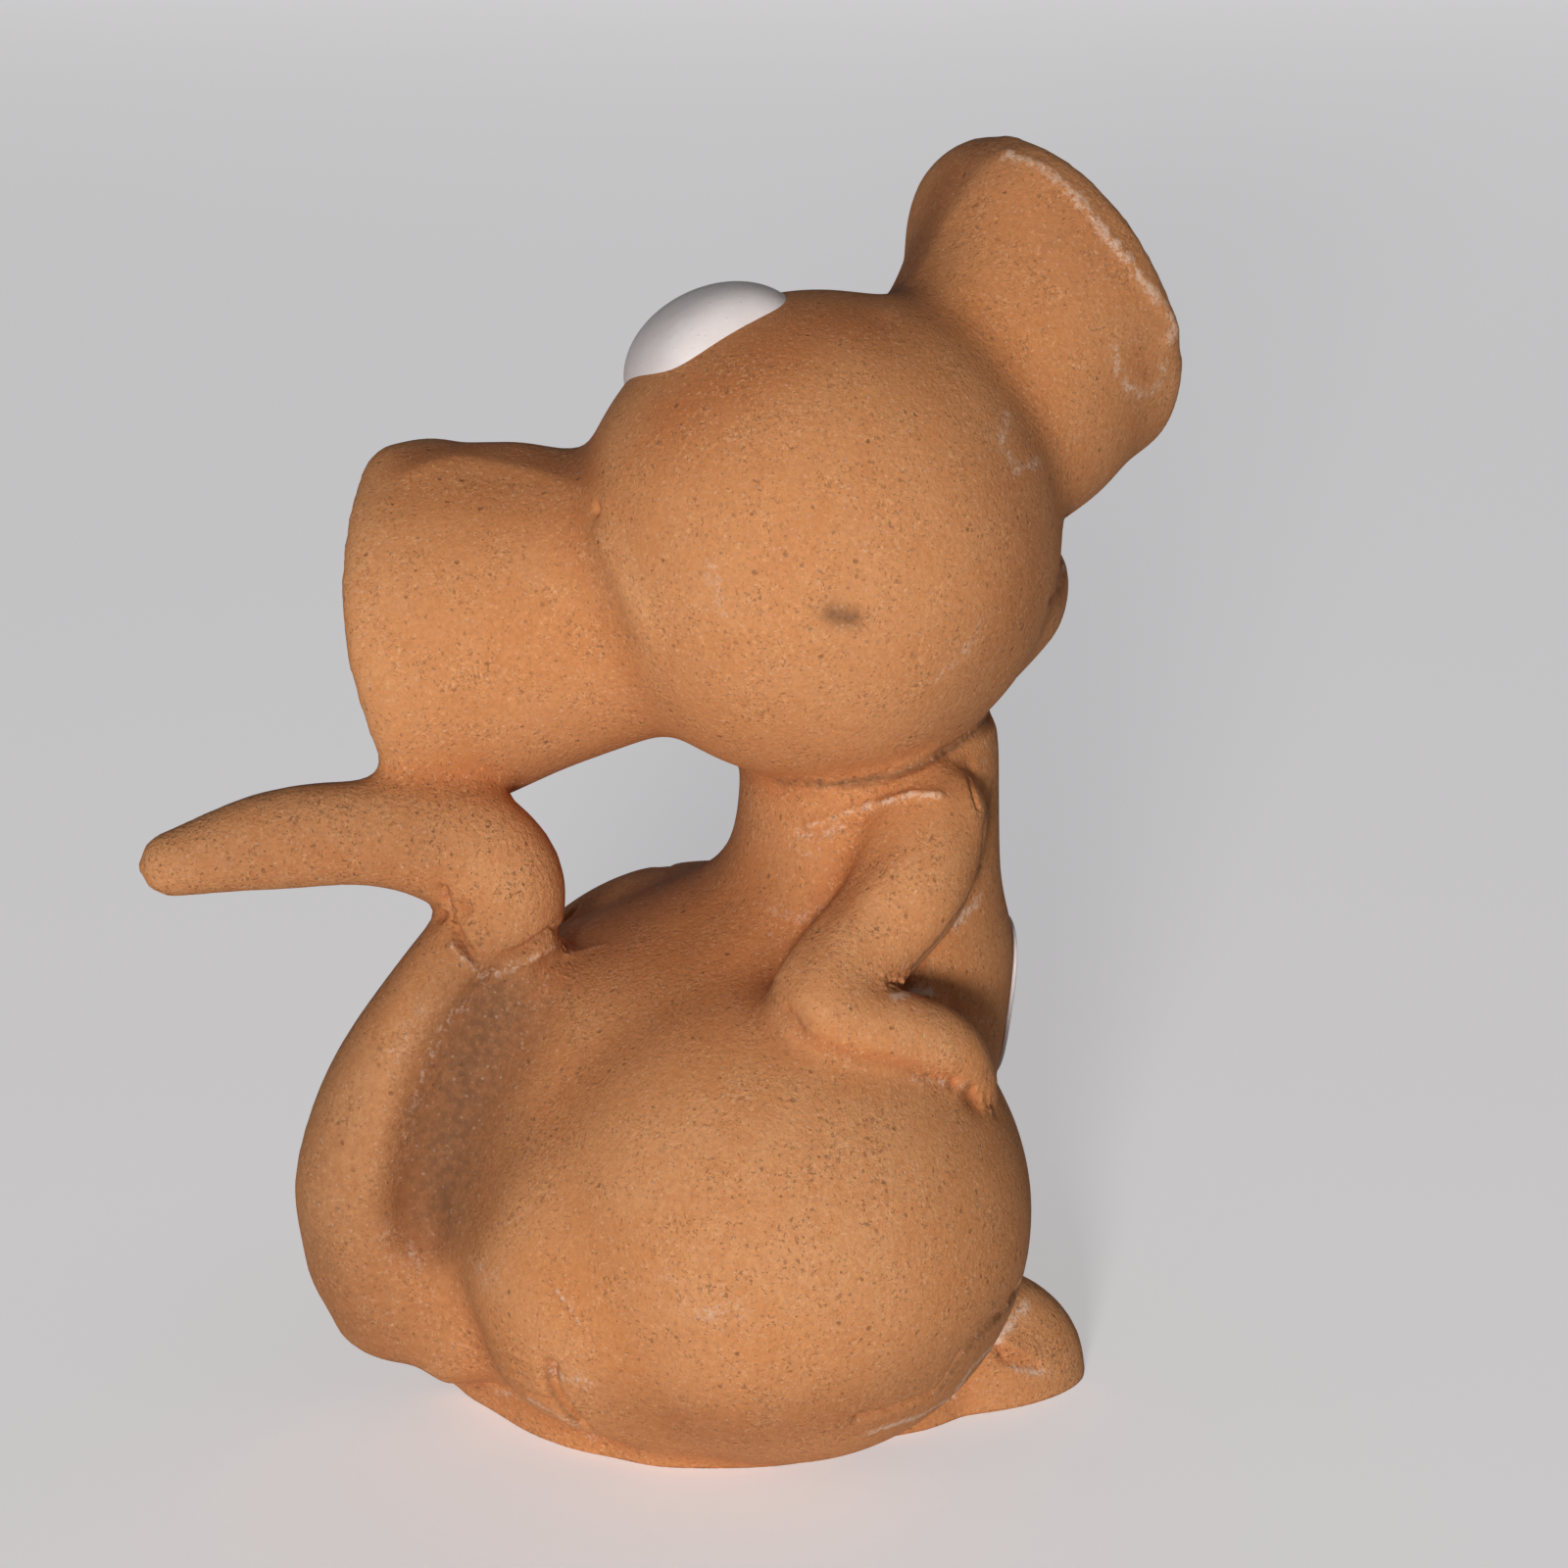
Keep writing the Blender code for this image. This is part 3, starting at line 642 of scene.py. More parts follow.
    def relax(self, passes, weight=None):
        """Stroke the skin smooth, everywhere or by weight."""
        for _ in range(passes):
            middle = self.neighbours(self.points)
            share = 0.5 if weight is None else 0.5 * weight[:, None]
            self.points += (middle - self.points) * share

    def neighbours(self, values):
        """Mean of each point's neighbours."""
        out = np.zeros_like(values)
        a = self.pairs[:, 0]
        b = self.pairs[:, 1]
        if values.ndim == 1:
            out += np.bincount(a, values[b], minlength=self.count)
            out += np.bincount(b, values[a], minlength=self.count)
            return out / self.links
        for k in range(values.shape[1]):
            out[:, k] += np.bincount(a, values[b, k], minlength=self.count)
            out[:, k] += np.bincount(b, values[a, k], minlength=self.count)
        return out / self.links[:, None]

    def deepen(self, weight, gain, most):
        """Sink the joins that already dip, so that they close to dark lines."""
        dip = np.clip(self.hollows(8) * gain, 0.0, most)
        self.points -= self.normals * (dip * weight)[:, None]
        self.refresh()

    def hollows(self, passes):
        """How far each point lies below its softened surroundings, in metres."""
        soft = self.points.copy()
        for _ in range(passes):
            soft += (self.neighbours(soft) - soft) * 0.6
        return ((soft - self.points) * self.normals).sum(1)

    def store(self, name, values):
        """Keep one value at each point as an attribute of the mesh."""
        layer = self.obj.data.attributes.new(name, "FLOAT", "POINT")
        layer.data.foreach_set("value", np.clip(values, 0.0, 1.0).astype(np.float32))


# Lines that the photograph shows in the clay, as pixels of its 1600 frame
TRACED = {
    "arm": [(998, 801), (1002, 840), (1000, 880), (984, 922), (957, 958), (930, 985), (912, 998)],
    "crook": [(906, 1000), (904, 1012)],
    "web": [(924, 996), (948, 988)],
    "fore_top": [
        (951, 1014), (970, 1030), (989, 1047), (995, 1066), (1000, 1089), (1006, 1116),
        (1010, 1136)],
    "fore_low": [(800, 1030), (820, 1058), (858, 1072), (897, 1080), (935, 1091), (974, 1105)],
    "smear": [(826, 842), (851, 834), (876, 825), (905, 818), (930, 810), (957, 811)],
    "smear_under": [(815, 850), (836, 852), (858, 845), (884, 834)],
    "scratch": [(989, 793), (998, 823)],
    "join": [
        (452, 908), (457, 933), (470, 960), (486, 980), (505, 982), (536, 969), (559, 953),
        (575, 940), (584, 929)],
    "lip": [(462, 965), (489, 994), (512, 992), (540, 980), (573, 959), (590, 941)],
    "stroke": [(580, 974), (614, 965)],
    "heel": [(560, 1396), (560, 1413), (567, 1427), (577, 1440), (593, 1457)],
    "heel_line": [(500, 1413), (533, 1420), (560, 1430)],
    "foot": [
        (1040, 1313), (1025, 1338), (1002, 1361), (982, 1382), (967, 1407), (955, 1422), (913, 1438),
        (878, 1447)],
    "toe": [(1017, 1374), (1025, 1386), (1040, 1391), (1059, 1393)],
    "toe_swell": [(1030, 1372), (1052, 1380)],
    "cheek": [(1098, 540), (1086, 575), (1084, 600), (1072, 612)],
    "pit": [(610, 520)],
    "rim": [
        (1028, 156), (1068, 172), (1098, 200), (1124, 232), (1148, 262), (1172, 292), (1195, 324),
        (1206, 350)],
    "ear_top": [(420, 482), (463, 466), (497, 472), (550, 482), (597, 498), (617, 513)],
    "base_0": [(500, 1372), (520, 1378), (534, 1386)],
    "base_1": [(506, 1388), (522, 1392)],
    "base_2": [(515, 1402), (528, 1406)],
    "base_3": [(568, 1317), (580, 1332), (592, 1351)],
}
ARM_VALLEY = [(905, 860), (865, 905), (832, 950), (806, 1000)]
BACK_VALLEY = [(505, 1000), (470, 1045), (447, 1090), (428, 1150), (420, 1215), (430, 1260)]
EAR_ROOT = [(925, 312), (960, 345), (1000, 390), (1035, 440), (1058, 485)]
EAR_BLEND = [(614, 548), (626, 575), (645, 610), (657, 645)]
RIGHT_EAR_LINE = [(1010, 167), (968, 222), (940, 275), (905, 320)]
EAR_RING_HIGH = [(1137, 355), (1140, 380), (1160, 404), (1182, 396), (1188, 372)]
EAR_RING_LOW = [(1027, 422), (1021, 450), (1035, 478), (1060, 474)]

# Presses on the outline: pixels, then width and the way right and up in millimetres
PRESSED_OUTLINE = (
    ([(428, 1385), (445, 1402)], 2.2, 0.0, -1.3),
    ([(305, 1300), (330, 1360), (365, 1395), (410, 1405)], 4.0, 1.3, 0.5),
    ([(480, 1430), (549, 1463), (610, 1484)], 2.6, 0.3, 1.2),
    ([(1098, 560), (1098, 600), (1078, 645), (1050, 685)], 2.4, -0.9, 0.0),
    ([(400, 470), (450, 460), (520, 462)], 3.2, -0.2, 0.9),
)


def crease_lines(skin, sizes):
    """Every crisp line, traced on the clay, with those of the hidden arm and foot."""
    lines = {name: skin.traced(pixels) for name, pixels in TRACED.items()}
    for name in ("arm", "crook", "web", "fore_top", "fore_low", "foot", "toe", "heel"):
        lines[name + "_far"] = skin.other_side(lines[name])
    lines["neck"] = skin.laid([body_point(NECK_GAP_HEIGHT, turn) for turn in range(-60, 60, 6)])
    lines["limb"] = skin.under_ball(head_centre(sizes), sizes.head_radius, -84.0, -40.0)
    return lines


def refine(obj, lines, reach):
    """Cut the mesh finer along the crisp lines."""
    skin = Skin(obj)
    close = np.zeros(skin.count)
    for line in lines.values():
        close = np.maximum(close, skin.near(line, reach, ANY_FACING))
    bm = bmesh.new()
    bm.from_mesh(obj.data)
    bm.verts.ensure_lookup_table()
    edges = [e for e in bm.edges if min(close[e.verts[0].index], close[e.verts[1].index]) > 0.37]
    bmesh.ops.subdivide_edges(bm, edges=edges, cuts=1, use_grid_fill=True)
    ragged = [face for face in bm.faces if len(face.verts) > 4]
    bmesh.ops.triangulate(bm, faces=ragged)
    bm.to_mesh(obj.data)
    bm.free()


def press_outline(skin):
    """Broad presses of the thumb that bring the outline to the photograph's."""
    view = skin.camera
    for pixels, width, right, up in PRESSED_OUTLINE:
        way = np.array(view.right * (right * MM) + view.up * (up * MM))
        skin.points += skin.near(skin.traced(pixels), width * MM, ANY_FACING)[:, None] * way
    skin.relax(2)
    skin.refresh()


# Strokes into the clay, on both sides of the body and then on one: line, width and depth in millimetres
PAIRED_STROKES = (
    ("fore_low", 0.45, 0.26),
    ("foot", 0.3, 0.75),
    ("toe", 0.34, 0.3),
    ("heel", 0.5, 0.8),
)
STROKES = (
    ("neck", 0.4, 0.25),
    ("limb", 0.28, 0.22),
    ("ear_top", 0.7, -0.12),
    ("smear", 0.32, -0.22),
    ("smear_under", 0.22, 0.18),
    ("scratch", 0.2, 0.2),
    ("join", 0.3, 0.5),
    ("lip", 0.34, -0.24),
    ("stroke", 0.28, -0.07),
    ("heel_line", 0.25, 0.2),
    ("toe_swell", 0.6, -0.16),
    ("cheek", 0.3, 0.16),
    ("pit", 0.35, 0.35),
    ("rim", 0.5, -0.16),
    ("base_0", 0.26, -0.16),
    ("base_1", 0.24, -0.14),
    ("base_2", 0.24, -0.12),
    ("base_3", 0.18, -0.1),
)
STROKE_FACING = {"neck": ANY_FACING, "limb": ANY_FACING, "cheek": -0.5}


def shape_creases(skin, lines):
    """Creases, seams and thumb marks that the photograph shows."""
    soft = skin.near(skin.traced([(850, 822), (930, 815), (990, 795)]), 0.0018, ANY_FACING)
    rim = skin.near(skin.traced([(378, 500), (352, 600), (358, 700), (382, 780)]), 0.0026, ANY_FACING)
    skin.relax(25, np.maximum(soft, rim * 0.8))
    valley = skin.traced(ARM_VALLEY)
    for line in (valley, skin.other_side(valley)):
        skin.work(line, 0.00120, 0.00030)
    back_valley = skin.traced(BACK_VALLEY)
    skin.work(back_valley, 0.00150, 0.00070)
    skin.work(skin.traced([(500, 1070), (480, 1150), (480, 1230)]), 0.00300, 0.00055)
    skin.work(skin.traced(EAR_BLEND), 0.00110, -0.00030)
    ear_root = skin.traced(EAR_ROOT)
    soft_root = skin.near(ear_root, 0.00260, ANY_FACING)
    skin.work(ear_root, 0.00200, -0.00045)
    skin.relax(40, soft_root)
    skin.work(skin.traced(RIGHT_EAR_LINE), 0.00080, -0.00014)
    for key, width, depth in PAIRED_STROKES:
        for line in (lines[key], lines[key + "_far"]):
            skin.work(line, width * MM, depth * MM, -0.3)
    joins = np.zeros(skin.count)
    for key in ("arm", "web", "fore_top", "arm_far", "web_far", "fore_top_far", "join"):
        joins = np.maximum(joins, skin.near(lines[key], 0.00170, ANY_FACING))
    skin.deepen(joins, 5.0, 0.00035)
    skin.deepen(joins, 4.0, 0.00030)
    for key, width, depth in STROKES:
        skin.work(lines[key], width * MM, depth * MM, STROKE_FACING.get(key, -0.3))


# Painted places: pixels, then width in millimetres and strength
CHALK = (
    (TRACED["smear"][2:], 0.36, 0.62),
    (TRACED["smear"][:3], 0.24, 0.5),
    (TRACED["smear_under"][:3], 0.4, 0.55),
    ([(1005, 757), (1005, 779)], 0.18, 0.6),
    ([(765, 790), (768, 840)], 0.2, 0.5),
    ([(974, 945), (985, 932), (999, 918)], 0.5, 0.7),
    ([(914, 1018), (934, 1010), (951, 1012)], 0.45, 0.9),
    ([(920, 985), (932, 996)], 0.3, 0.5),
    ([(993, 1043), (1005, 1043)], 0.28, 0.6),
    ([(932, 1103), (955, 1104), (985, 1108)], 0.34, 0.55),
    (EAR_RING_LOW, 0.5, 0.6),
    ([(1075, 478), (1092, 455), (1100, 440)], 0.7, 0.35),
    (EAR_RING_HIGH, 0.46, 0.6),
    (TRACED["rim"], 0.62, 0.6),
    ([(960, 690), (990, 660), (1005, 630)], 0.7, 0.4),
    ([(1000, 700), (1030, 650)], 0.45, 0.35),
    ([(1086, 575), (1081, 598)], 0.25, 0.7),
    ([(725, 580), (738, 620)], 0.8, 0.42),
    ([(700, 1335), (727, 1340), (753, 1333)], 1.0, 0.42),
    ([(672, 1308), (690, 1312)], 0.8, 0.36),
    ([(562, 1398), (580, 1404), (600, 1412)], 0.8, 0.5),
    ([(505, 1419), (540, 1428), (575, 1448), (606, 1466)], 0.44, 0.55),
    ([(1048, 1330), (1017, 1368), (990, 1398), (972, 1424), (941, 1444), (888, 1462)], 0.44, 0.85),
    ([(495, 1005), (460, 1035), (440, 1075), (420, 1130), (408, 1200)], 0.4, 0.45),
    ([(1032, 1395), (1055, 1400), (1071, 1404)], 0.34, 0.65),
    (TRACED["lip"], 0.4, 0.5),
    ([(452, 912), (458, 930)], 0.3, 0.45),
    (TRACED["stroke"], 0.28, 0.35),
    ([(568, 1317), (580, 1332), (592, 1351)], 0.18, 0.6),
    ([(815, 870), (835, 865)], 0.5, 0.4),
    ([(790, 925), (812, 938), (840, 925)], 0.6, 0.42),
    ([(400, 1080), (432, 1030)], 0.6, 0.38),
    ([(395, 1260), (420, 1280)], 1.2, 0.36),
    ([(480, 1290), (505, 1310)], 1.1, 0.38),
)
# Grime smudges and painted shade: the back valley and the roll up the back, the turned-away ear, head and
# haunch, and dark shade lines in the creases and in the gap under the head.
GRIME_AND_SHADE = (
    ([(848, 627), (870, 631)], 0.6, 0.95),
    ([(500, 1030), (475, 1095), (460, 1160), (452, 1225)], 4.2, 1.0),
    ([(535, 1040), (520, 1110), (505, 1190)], 4.0, 0.45),
    ([(450, 1075), (428, 1135), (418, 1205)], 1.6, 0.85),
    ([(410, 940), (350, 1060), (325, 1180), (335, 1290), (380, 1360)], 4.8, 0.46),
    ([(640, 1440), (760, 1465), (900, 1430), (1000, 1370)], 3.0, 0.3),
    ([(1040, 470), (1060, 560), (1040, 640), (980, 720)], 3.4, 0.26),
    ([(1120, 250), (1165, 330), (1150, 400)], 4.0, 0.26),
    ([(200, 870), (330, 850), (430, 860)], 3.0, 0.26),
    ([(925, 290), (945, 230), (965, 190), (1000, 150)], 3.0, 0.62),
    ([(430, 462), (500, 458), (590, 478)], 1.6, 0.3),
    ([(540, 1000), (620, 950), (700, 890), (745, 850)], 3.8, 0.34),
    ([(560, 1090), (680, 990), (780, 900)], 3.6, 0.24),
    ([(790, 960), (775, 1010), (800, 1045)], 1.4, 0.25),
    ([(818, 1040), (822, 1050)], 0.6, 0.45),
    ([(1070, 250), (1092, 236)], 0.6, 0.3),
    ([(405, 1060), (430, 1045)], 0.5, 0.25),
    ([(906, 1004), (912, 1012), (928, 1008)], 0.34, 0.6),
    (TRACED["foot"][:6], 0.3, 0.95),
    ([(795, 797), (850, 800), (910, 792), (950, 777), (984, 755), (1010, 731)], 0.2, 0.95),
    ([(1013, 800), (1003, 842), (1000, 884), (985, 920), (957, 958), (930, 988)], 0.18, 0.75),
    (TRACED["join"][5:], 0.2, 0.5),
    (TRACED["heel"], 0.22, 0.5),
    (TRACED["cheek"], 0.22, 0.6),
)
# Redder clay by the eye, and painted shade: the ear tops and head side turned from the lamp, the creases of
# arm, foot and cheek, and under the haunch and tail.
REDDER_CLAY_AND_SHADE = (
    ([(690, 420), (760, 372), (830, 330), (880, 330)], 3.2, 0.9),
    ([(420, 466), (480, 456), (540, 464), (600, 482)], 2.0, 0.95),
    ([(420, 500), (500, 510), (580, 530)], 2.0, 0.35),
    ([(925, 290), (945, 230), (965, 190), (1000, 150)], 2.0, 0.95),
    ([(1000, 190), (1060, 210), (1110, 260)], 2.6, 0.35),
    ([(1158, 360), (1168, 385)], 0.6, 0.6),
    ([(1046, 440), (1050, 462)], 0.6, 0.5),
    ([(912, 1000), (925, 992), (940, 985)], 0.6, 1.0),
    (TRACED["fore_low"], 0.5, 0.6),
    ([(1022, 1378), (1040, 1384)], 0.45, 0.7),
    (TRACED["cheek"], 1.0, 0.6),
    ([(1040, 620), (1050, 560), (1040, 500)], 3.0, 0.45),
    ([(700, 1450), (800, 1462), (900, 1440)], 2.6, 0.45),
    ([(330, 1330), (400, 1380), (480, 1400)], 2.4, 0.4),
    ([(240, 890), (330, 880), (430, 890)], 1.8, 0.35),
)
ROUGH = (
    ([(200, 860), (300, 850), (400, 840), (480, 860), (530, 920)], 4.2, 1.0),
    ([(500, 1380), (530, 1395)], 1.5, 0.9),
    ([(1040, 1370), (1080, 1390)], 2.0, 0.8),
    ([(600, 1000), (560, 1150)], 3.5, 0.6),
    ([(840, 1200), (760, 1320)], 6.0, 0.45),
    ([(880, 900), (850, 980)], 3.0, 0.5),
)
# Rubbed, paler clay, and painted light where the lamp falls full on the haunch, arm, foot and the ridge by
# the left ear.
RUBBED_AND_LIT = (
    ([(700, 1180), (800, 1160), (900, 1180), (860, 1290), (760, 1300)], 6.0, 0.9),
    ([(930, 870), (900, 930), (860, 990)], 2.2, 0.8),
    ([(900, 1045), (960, 1070)], 1.5, 0.6),
    ([(630, 560), (655, 640)], 2.0, 0.7),
    ([(1050, 1350), (1080, 1390)], 2.0, 0.8),
)


def paint(skin, strokes, facing=-0.2):
    """The strongest of several strokes at each point, as (line, width, strength)."""
    value = np.zeros(skin.count)
    for pixels, width, strength in strokes:
        value = np.maximum(value, skin.near(skin.traced(pixels), width * MM, facing) * strength)
    return value


def mark_finish(skin, lines):
    """Where chalk, grime with painted shade, redder clay with painted shade, painted shade in the hollows,
    and rubbed places with painted light lie, kept with the mesh.
    """
    chalk = paint(skin, CHALK)
    for key, strength in (("arm_far", 0.5), ("foot_far", 0.6), ("web_far", 0.6)):
        chalk = np.maximum(chalk, skin.near(lines[key], 0.00040, -0.3) * strength)
    # Grime smudges and painted shade in the valleys and creases.
    grime_and_shade = paint(skin, GRIME_AND_SHADE, -0.6)
    # Painted shadow: a dark line in the gap under the head ball.
    for key in ("neck", "limb"):
        grime_and_shade = np.maximum(grime_and_shade, skin.near(lines[key], 0.00030, ANY_FACING))
    # Redder clay by the eye, and painted shade on the turned-away sides and in the creases.
    redder_clay_and_shade = paint(skin, REDDER_CLAY_AND_SHADE)
    rough = paint(skin, ROUGH, ANY_FACING)
    # Painted shade in the hollows and creases, darker the deeper they lie.
    fine = skin.hollows(6)
    wide = skin.hollows(60)
    hollow_shade = np.clip(fine / 0.00006, 0.0, 1.0) * 0.5 + np.clip(wide / 0.00045, 0.0, 1.0) * 0.6
    # Paler clay on the raised and rubbed places: wear, and painted light on the tops that face the lamp.
    rubbed_and_lit = paint(skin, RUBBED_AND_LIT)
    high = np.maximum(np.clip(-wide / 0.00050, 0.0, 1.0) * 0.7, rubbed_and_lit)
    marks = {"chalk": chalk, "grime_and_shade": grime_and_shade, "redder_clay_and_shade": redder_clay_and_shade, "rough": rough, "hollow_shade": hollow_shade, "high": high}
    for name, values in marks.items():
        skin.store(name, values)


def give_group(name, inputs, outputs):
    """A new shader node group with its sockets, every output a plain value, and its two ends."""
    tree = bpy.data.node_groups.new(name, "ShaderNodeTree")
    for label, kind, value in inputs:
        socket = tree.interface.new_socket(label, in_out="INPUT", socket_type=kind)
        socket.default_value = value
    for label in outputs:
        tree.interface.new_socket(label, in_out="OUTPUT", socket_type="NodeSocketFloat")
    start = tree.nodes.new("NodeGroupInput")
    end = tree.nodes.new("NodeGroupOutput")
    return tree, start, end


class Wiring:
    """Short words for making and joining nodes in one tree."""

    def __init__(self, tree):
        self.tree = tree

    def put(self, kind, **settings):
        node = self.tree.nodes.new(kind)
        for key, value in settings.items():
            setattr(node, key, value)
        return node

    def feed(self, socket, value):
        if isinstance(value, bpy.types.NodeSocket):
            self.tree.links.new(value, socket)
        else:
            socket.default_value = value

    def sum(self, operation, a, b=0.0, clamp=False):
        node = self.put("ShaderNodeMath", operation=operation, use_clamp=clamp)
        self.feed(node.inputs[0], a)
        self.feed(node.inputs[1], b)
        return node.outputs[0]

    def plus(self, a, b):
        return self.sum("ADD", a, b)

    def less(self, a, b):
        return self.sum("SUBTRACT", a, b)

    def times(self, a, b):
        return self.sum("MULTIPLY", a, b)

    def scaled(self, value, by, start):
        """A value times one number, with another added."""
        node = self.put("ShaderNodeMath", operation="MULTIPLY_ADD")
        for socket, item in zip(node.inputs, (value, by, start)):
            self.feed(socket, item)
        return node.outputs[0]

    def spread(self, value, low, high, out_low=0.0, out_high=1.0):
        node = self.put("ShaderNodeMapRange", interpolation_type="SMOOTHSTEP")
        for socket, item in zip(node.inputs, (value, low, high, out_low, out_high)):
            self.feed(socket, item)
        return node.outputs[0]

    def noise(self, place, scale, detail=3.0, rough=0.5, twist=0.0):
        node = self.put("ShaderNodeTexNoise")
        self.feed(node.inputs["Vector"], place)
        self.feed(node.inputs["Scale"], scale)
        self.feed(node.inputs["Detail"], detail)
        self.feed(node.inputs["Roughness"], rough)
        self.feed(node.inputs["Distortion"], twist)
        return node.outputs["Fac"]

    def cells(self, place, scale):
        node = self.put("ShaderNodeTexVoronoi")
        self.feed(node.inputs["Vector"], place)
        self.feed(node.inputs["Scale"], scale)
        return node

    def blend(self, share, under, over):
        node = self.put("ShaderNodeMix", data_type="RGBA")
        self.feed(node.inputs["Factor"], share)
        self.feed(node.inputs["A"], under)
        self.feed(node.inputs["B"], over)
        return node.outputs["Result"]

    def attribute(self, name):
        return self.put("ShaderNodeAttribute", attribute_name=name).outputs["Fac"]


def sand_group():
    """Fine sand in the clay: tooth of the surface, dark pits and pale grains."""
    name = "sand_in_clay"
    if name in bpy.data.node_groups:
        return bpy.data.node_groups[name]
    tree, start, end = give_group(
        name,
        (
            ("Place", "NodeSocketVector", (0.0, 0.0, 0.0)),
            ("Grain", "NodeSocketFloat", 3600.0),
            ("Tooth", "NodeSocketFloat", 0.00006),
            ("Pit Depth", "NodeSocketFloat", 0.00005),
            ("Pit Share", "NodeSocketFloat", 0.30),
        ),
        ("Height", "Pits", "Grains", "Speckle", "Dark Flecks", "Pale Flecks"),
    )
    w = Wiring(tree)
    place = start.outputs["Place"]
    tooth = w.noise(place, start.outputs["Grain"], 4.0, 0.62)
    swell = w.noise(place, 520.0, 3.0, 0.5)
    drift = w.put("ShaderNodeTexNoise")
    w.feed(drift.inputs["Vector"], place)
    drift.inputs["Scale"].default_value = 2400.0
    drift.inputs["Detail"].default_value = 2.0
    shift = w.put("ShaderNodeVectorMath", operation="SCALE")
    w.feed(shift.inputs[0], drift.outputs["Color"])
    shift.inputs["Scale"].default_value = 0.00022
    ragged = w.put("ShaderNodeVectorMath", operation="ADD")
    w.feed(ragged.inputs[0], place)
    w.feed(ragged.inputs[1], shift.outputs[0])
    pit_cells = w.cells(ragged.outputs[0], 1650.0)
    pit_random = w.put("ShaderNodeSeparateColor")
    w.feed(pit_random.inputs[0], pit_cells.outputs["Color"])
    pit_size = w.spread(pit_random.outputs[1], 0.1, 1.0, 0.08, 0.34)
    pit_dot = w.spread(pit_cells.outputs["Distance"], pit_size, w.times(pit_size, 0.35))
    pit_pick = w.sum("LESS_THAN", pit_random.outputs[0], start.outputs["Pit Share"])
    pits = w.times(w.times(pit_dot, pit_pick), w.spread(pit_random.outputs[2], 0.0, 1.0, 0.35, 1.0))
    grain_cells = w.cells(ragged.outputs[0], 3100.0)
    grain_random = w.put("ShaderNodeSeparateColor")
    w.feed(grain_random.inputs[0], grain_cells.outputs["Color"])
    grain_dot = w.spread(grain_cells.outputs["Distance"], 0.40, 0.14)
    grain_pick = w.spread(grain_random.outputs[1], 0.55, 1.0)
    grains = w.times(grain_dot, grain_pick)
    height = w.times(w.less(tooth, 0.5), start.outputs["Tooth"])
    waves = w.times(w.less(swell, 0.5), 0.00005)
    dents = w.times(pits, start.outputs["Pit Depth"])
    bumps = w.times(grains, 0.000016)
    total = w.plus(w.less(w.plus(height, waves), dents), bumps)
    w.feed(end.inputs["Height"], total)
    w.feed(end.inputs["Pits"], pits)
    w.feed(end.inputs["Grains"], grains)
    w.feed(end.inputs["Speckle"], w.spread(tooth, 0.34, 0.66))
    patchy = w.noise(place, 420.0, 2.0, 0.5)
    dark = w.noise(place, 4300.0, 3.0, 0.7, 0.5)
    aside = w.put("ShaderNodeVectorMath", operation="ADD")
    w.feed(aside.inputs[0], place)
    aside.inputs[1].default_value = (0.31, 0.17, 0.23)
    pale = w.noise(aside.outputs[0], 3700.0, 3.0, 0.7, 0.5)
    shy = w.times(w.less(patchy, 0.5), 0.22)
    w.feed(end.inputs["Dark Flecks"], w.spread(w.plus(dark, shy), 0.565, 0.64))
    w.feed(end.inputs["Pale Flecks"], w.spread(w.plus(pale, shy), 0.575, 0.65))
    return tree


def mottle_group():
    """Slow change of tone over the clay, from the fire and from handling."""
    name = "kiln_mottle"
    if name in bpy.data.node_groups:
        return bpy.data.node_groups[name]
    tree, start, end = give_group(
        name,
        (("Place", "NodeSocketVector", (0.0, 0.0, 0.0)), ("Patch", "NodeSocketFloat", 130.0)),
        ("Slow", "Fine", "Dust", "Crumble"),
    )
    w = Wiring(tree)
    place = start.outputs["Place"]
    w.feed(end.inputs["Slow"], w.spread(w.noise(place, start.outputs["Patch"], 4.0, 0.55, 0.4), 0.34, 0.66))
    w.feed(end.inputs["Fine"], w.spread(w.noise(place, 1900.0, 4.0, 0.65), 0.30, 0.70))
    w.feed(end.inputs["Dust"], w.spread(w.noise(place, 900.0, 5.0, 0.70, 0.6), 0.42, 0.60))
    w.feed(end.inputs["Crumble"], w.spread(w.noise(place, 2300.0, 6.0, 0.75, 0.4), 0.34, 0.66))
    return tree


def use_group(w, tree, **values):
    """Lay a group down, and give back its outputs."""
    node = w.put("ShaderNodeGroup", node_tree=tree)
    for key, value in values.items():
        w.feed(node.inputs[key.replace("_", " ")], value)
    return node.outputs


def new_material(name):
    """A material with its wiring, its shader and its Object coordinates."""
    material = bpy.data.materials.new(name)
    material.use_nodes = True
    w = Wiring(material.node_tree)
    shader = material.node_tree.nodes["Principled BSDF"]
    place = w.put("ShaderNodeTexCoord").outputs["Object"]
    return material, w, shader, place


def bump_from(w, shader, height):
    """Let a height in metres tilt the surface."""
    bump = w.put("ShaderNodeBump")
    bump.inputs["Strength"].default_value = 1.0
    bump.inputs["Distance"].default_value = 1.0
    w.feed(bump.inputs["Height"], height)
    w.feed(shader.inputs["Normal"], bump.outputs["Normal"])


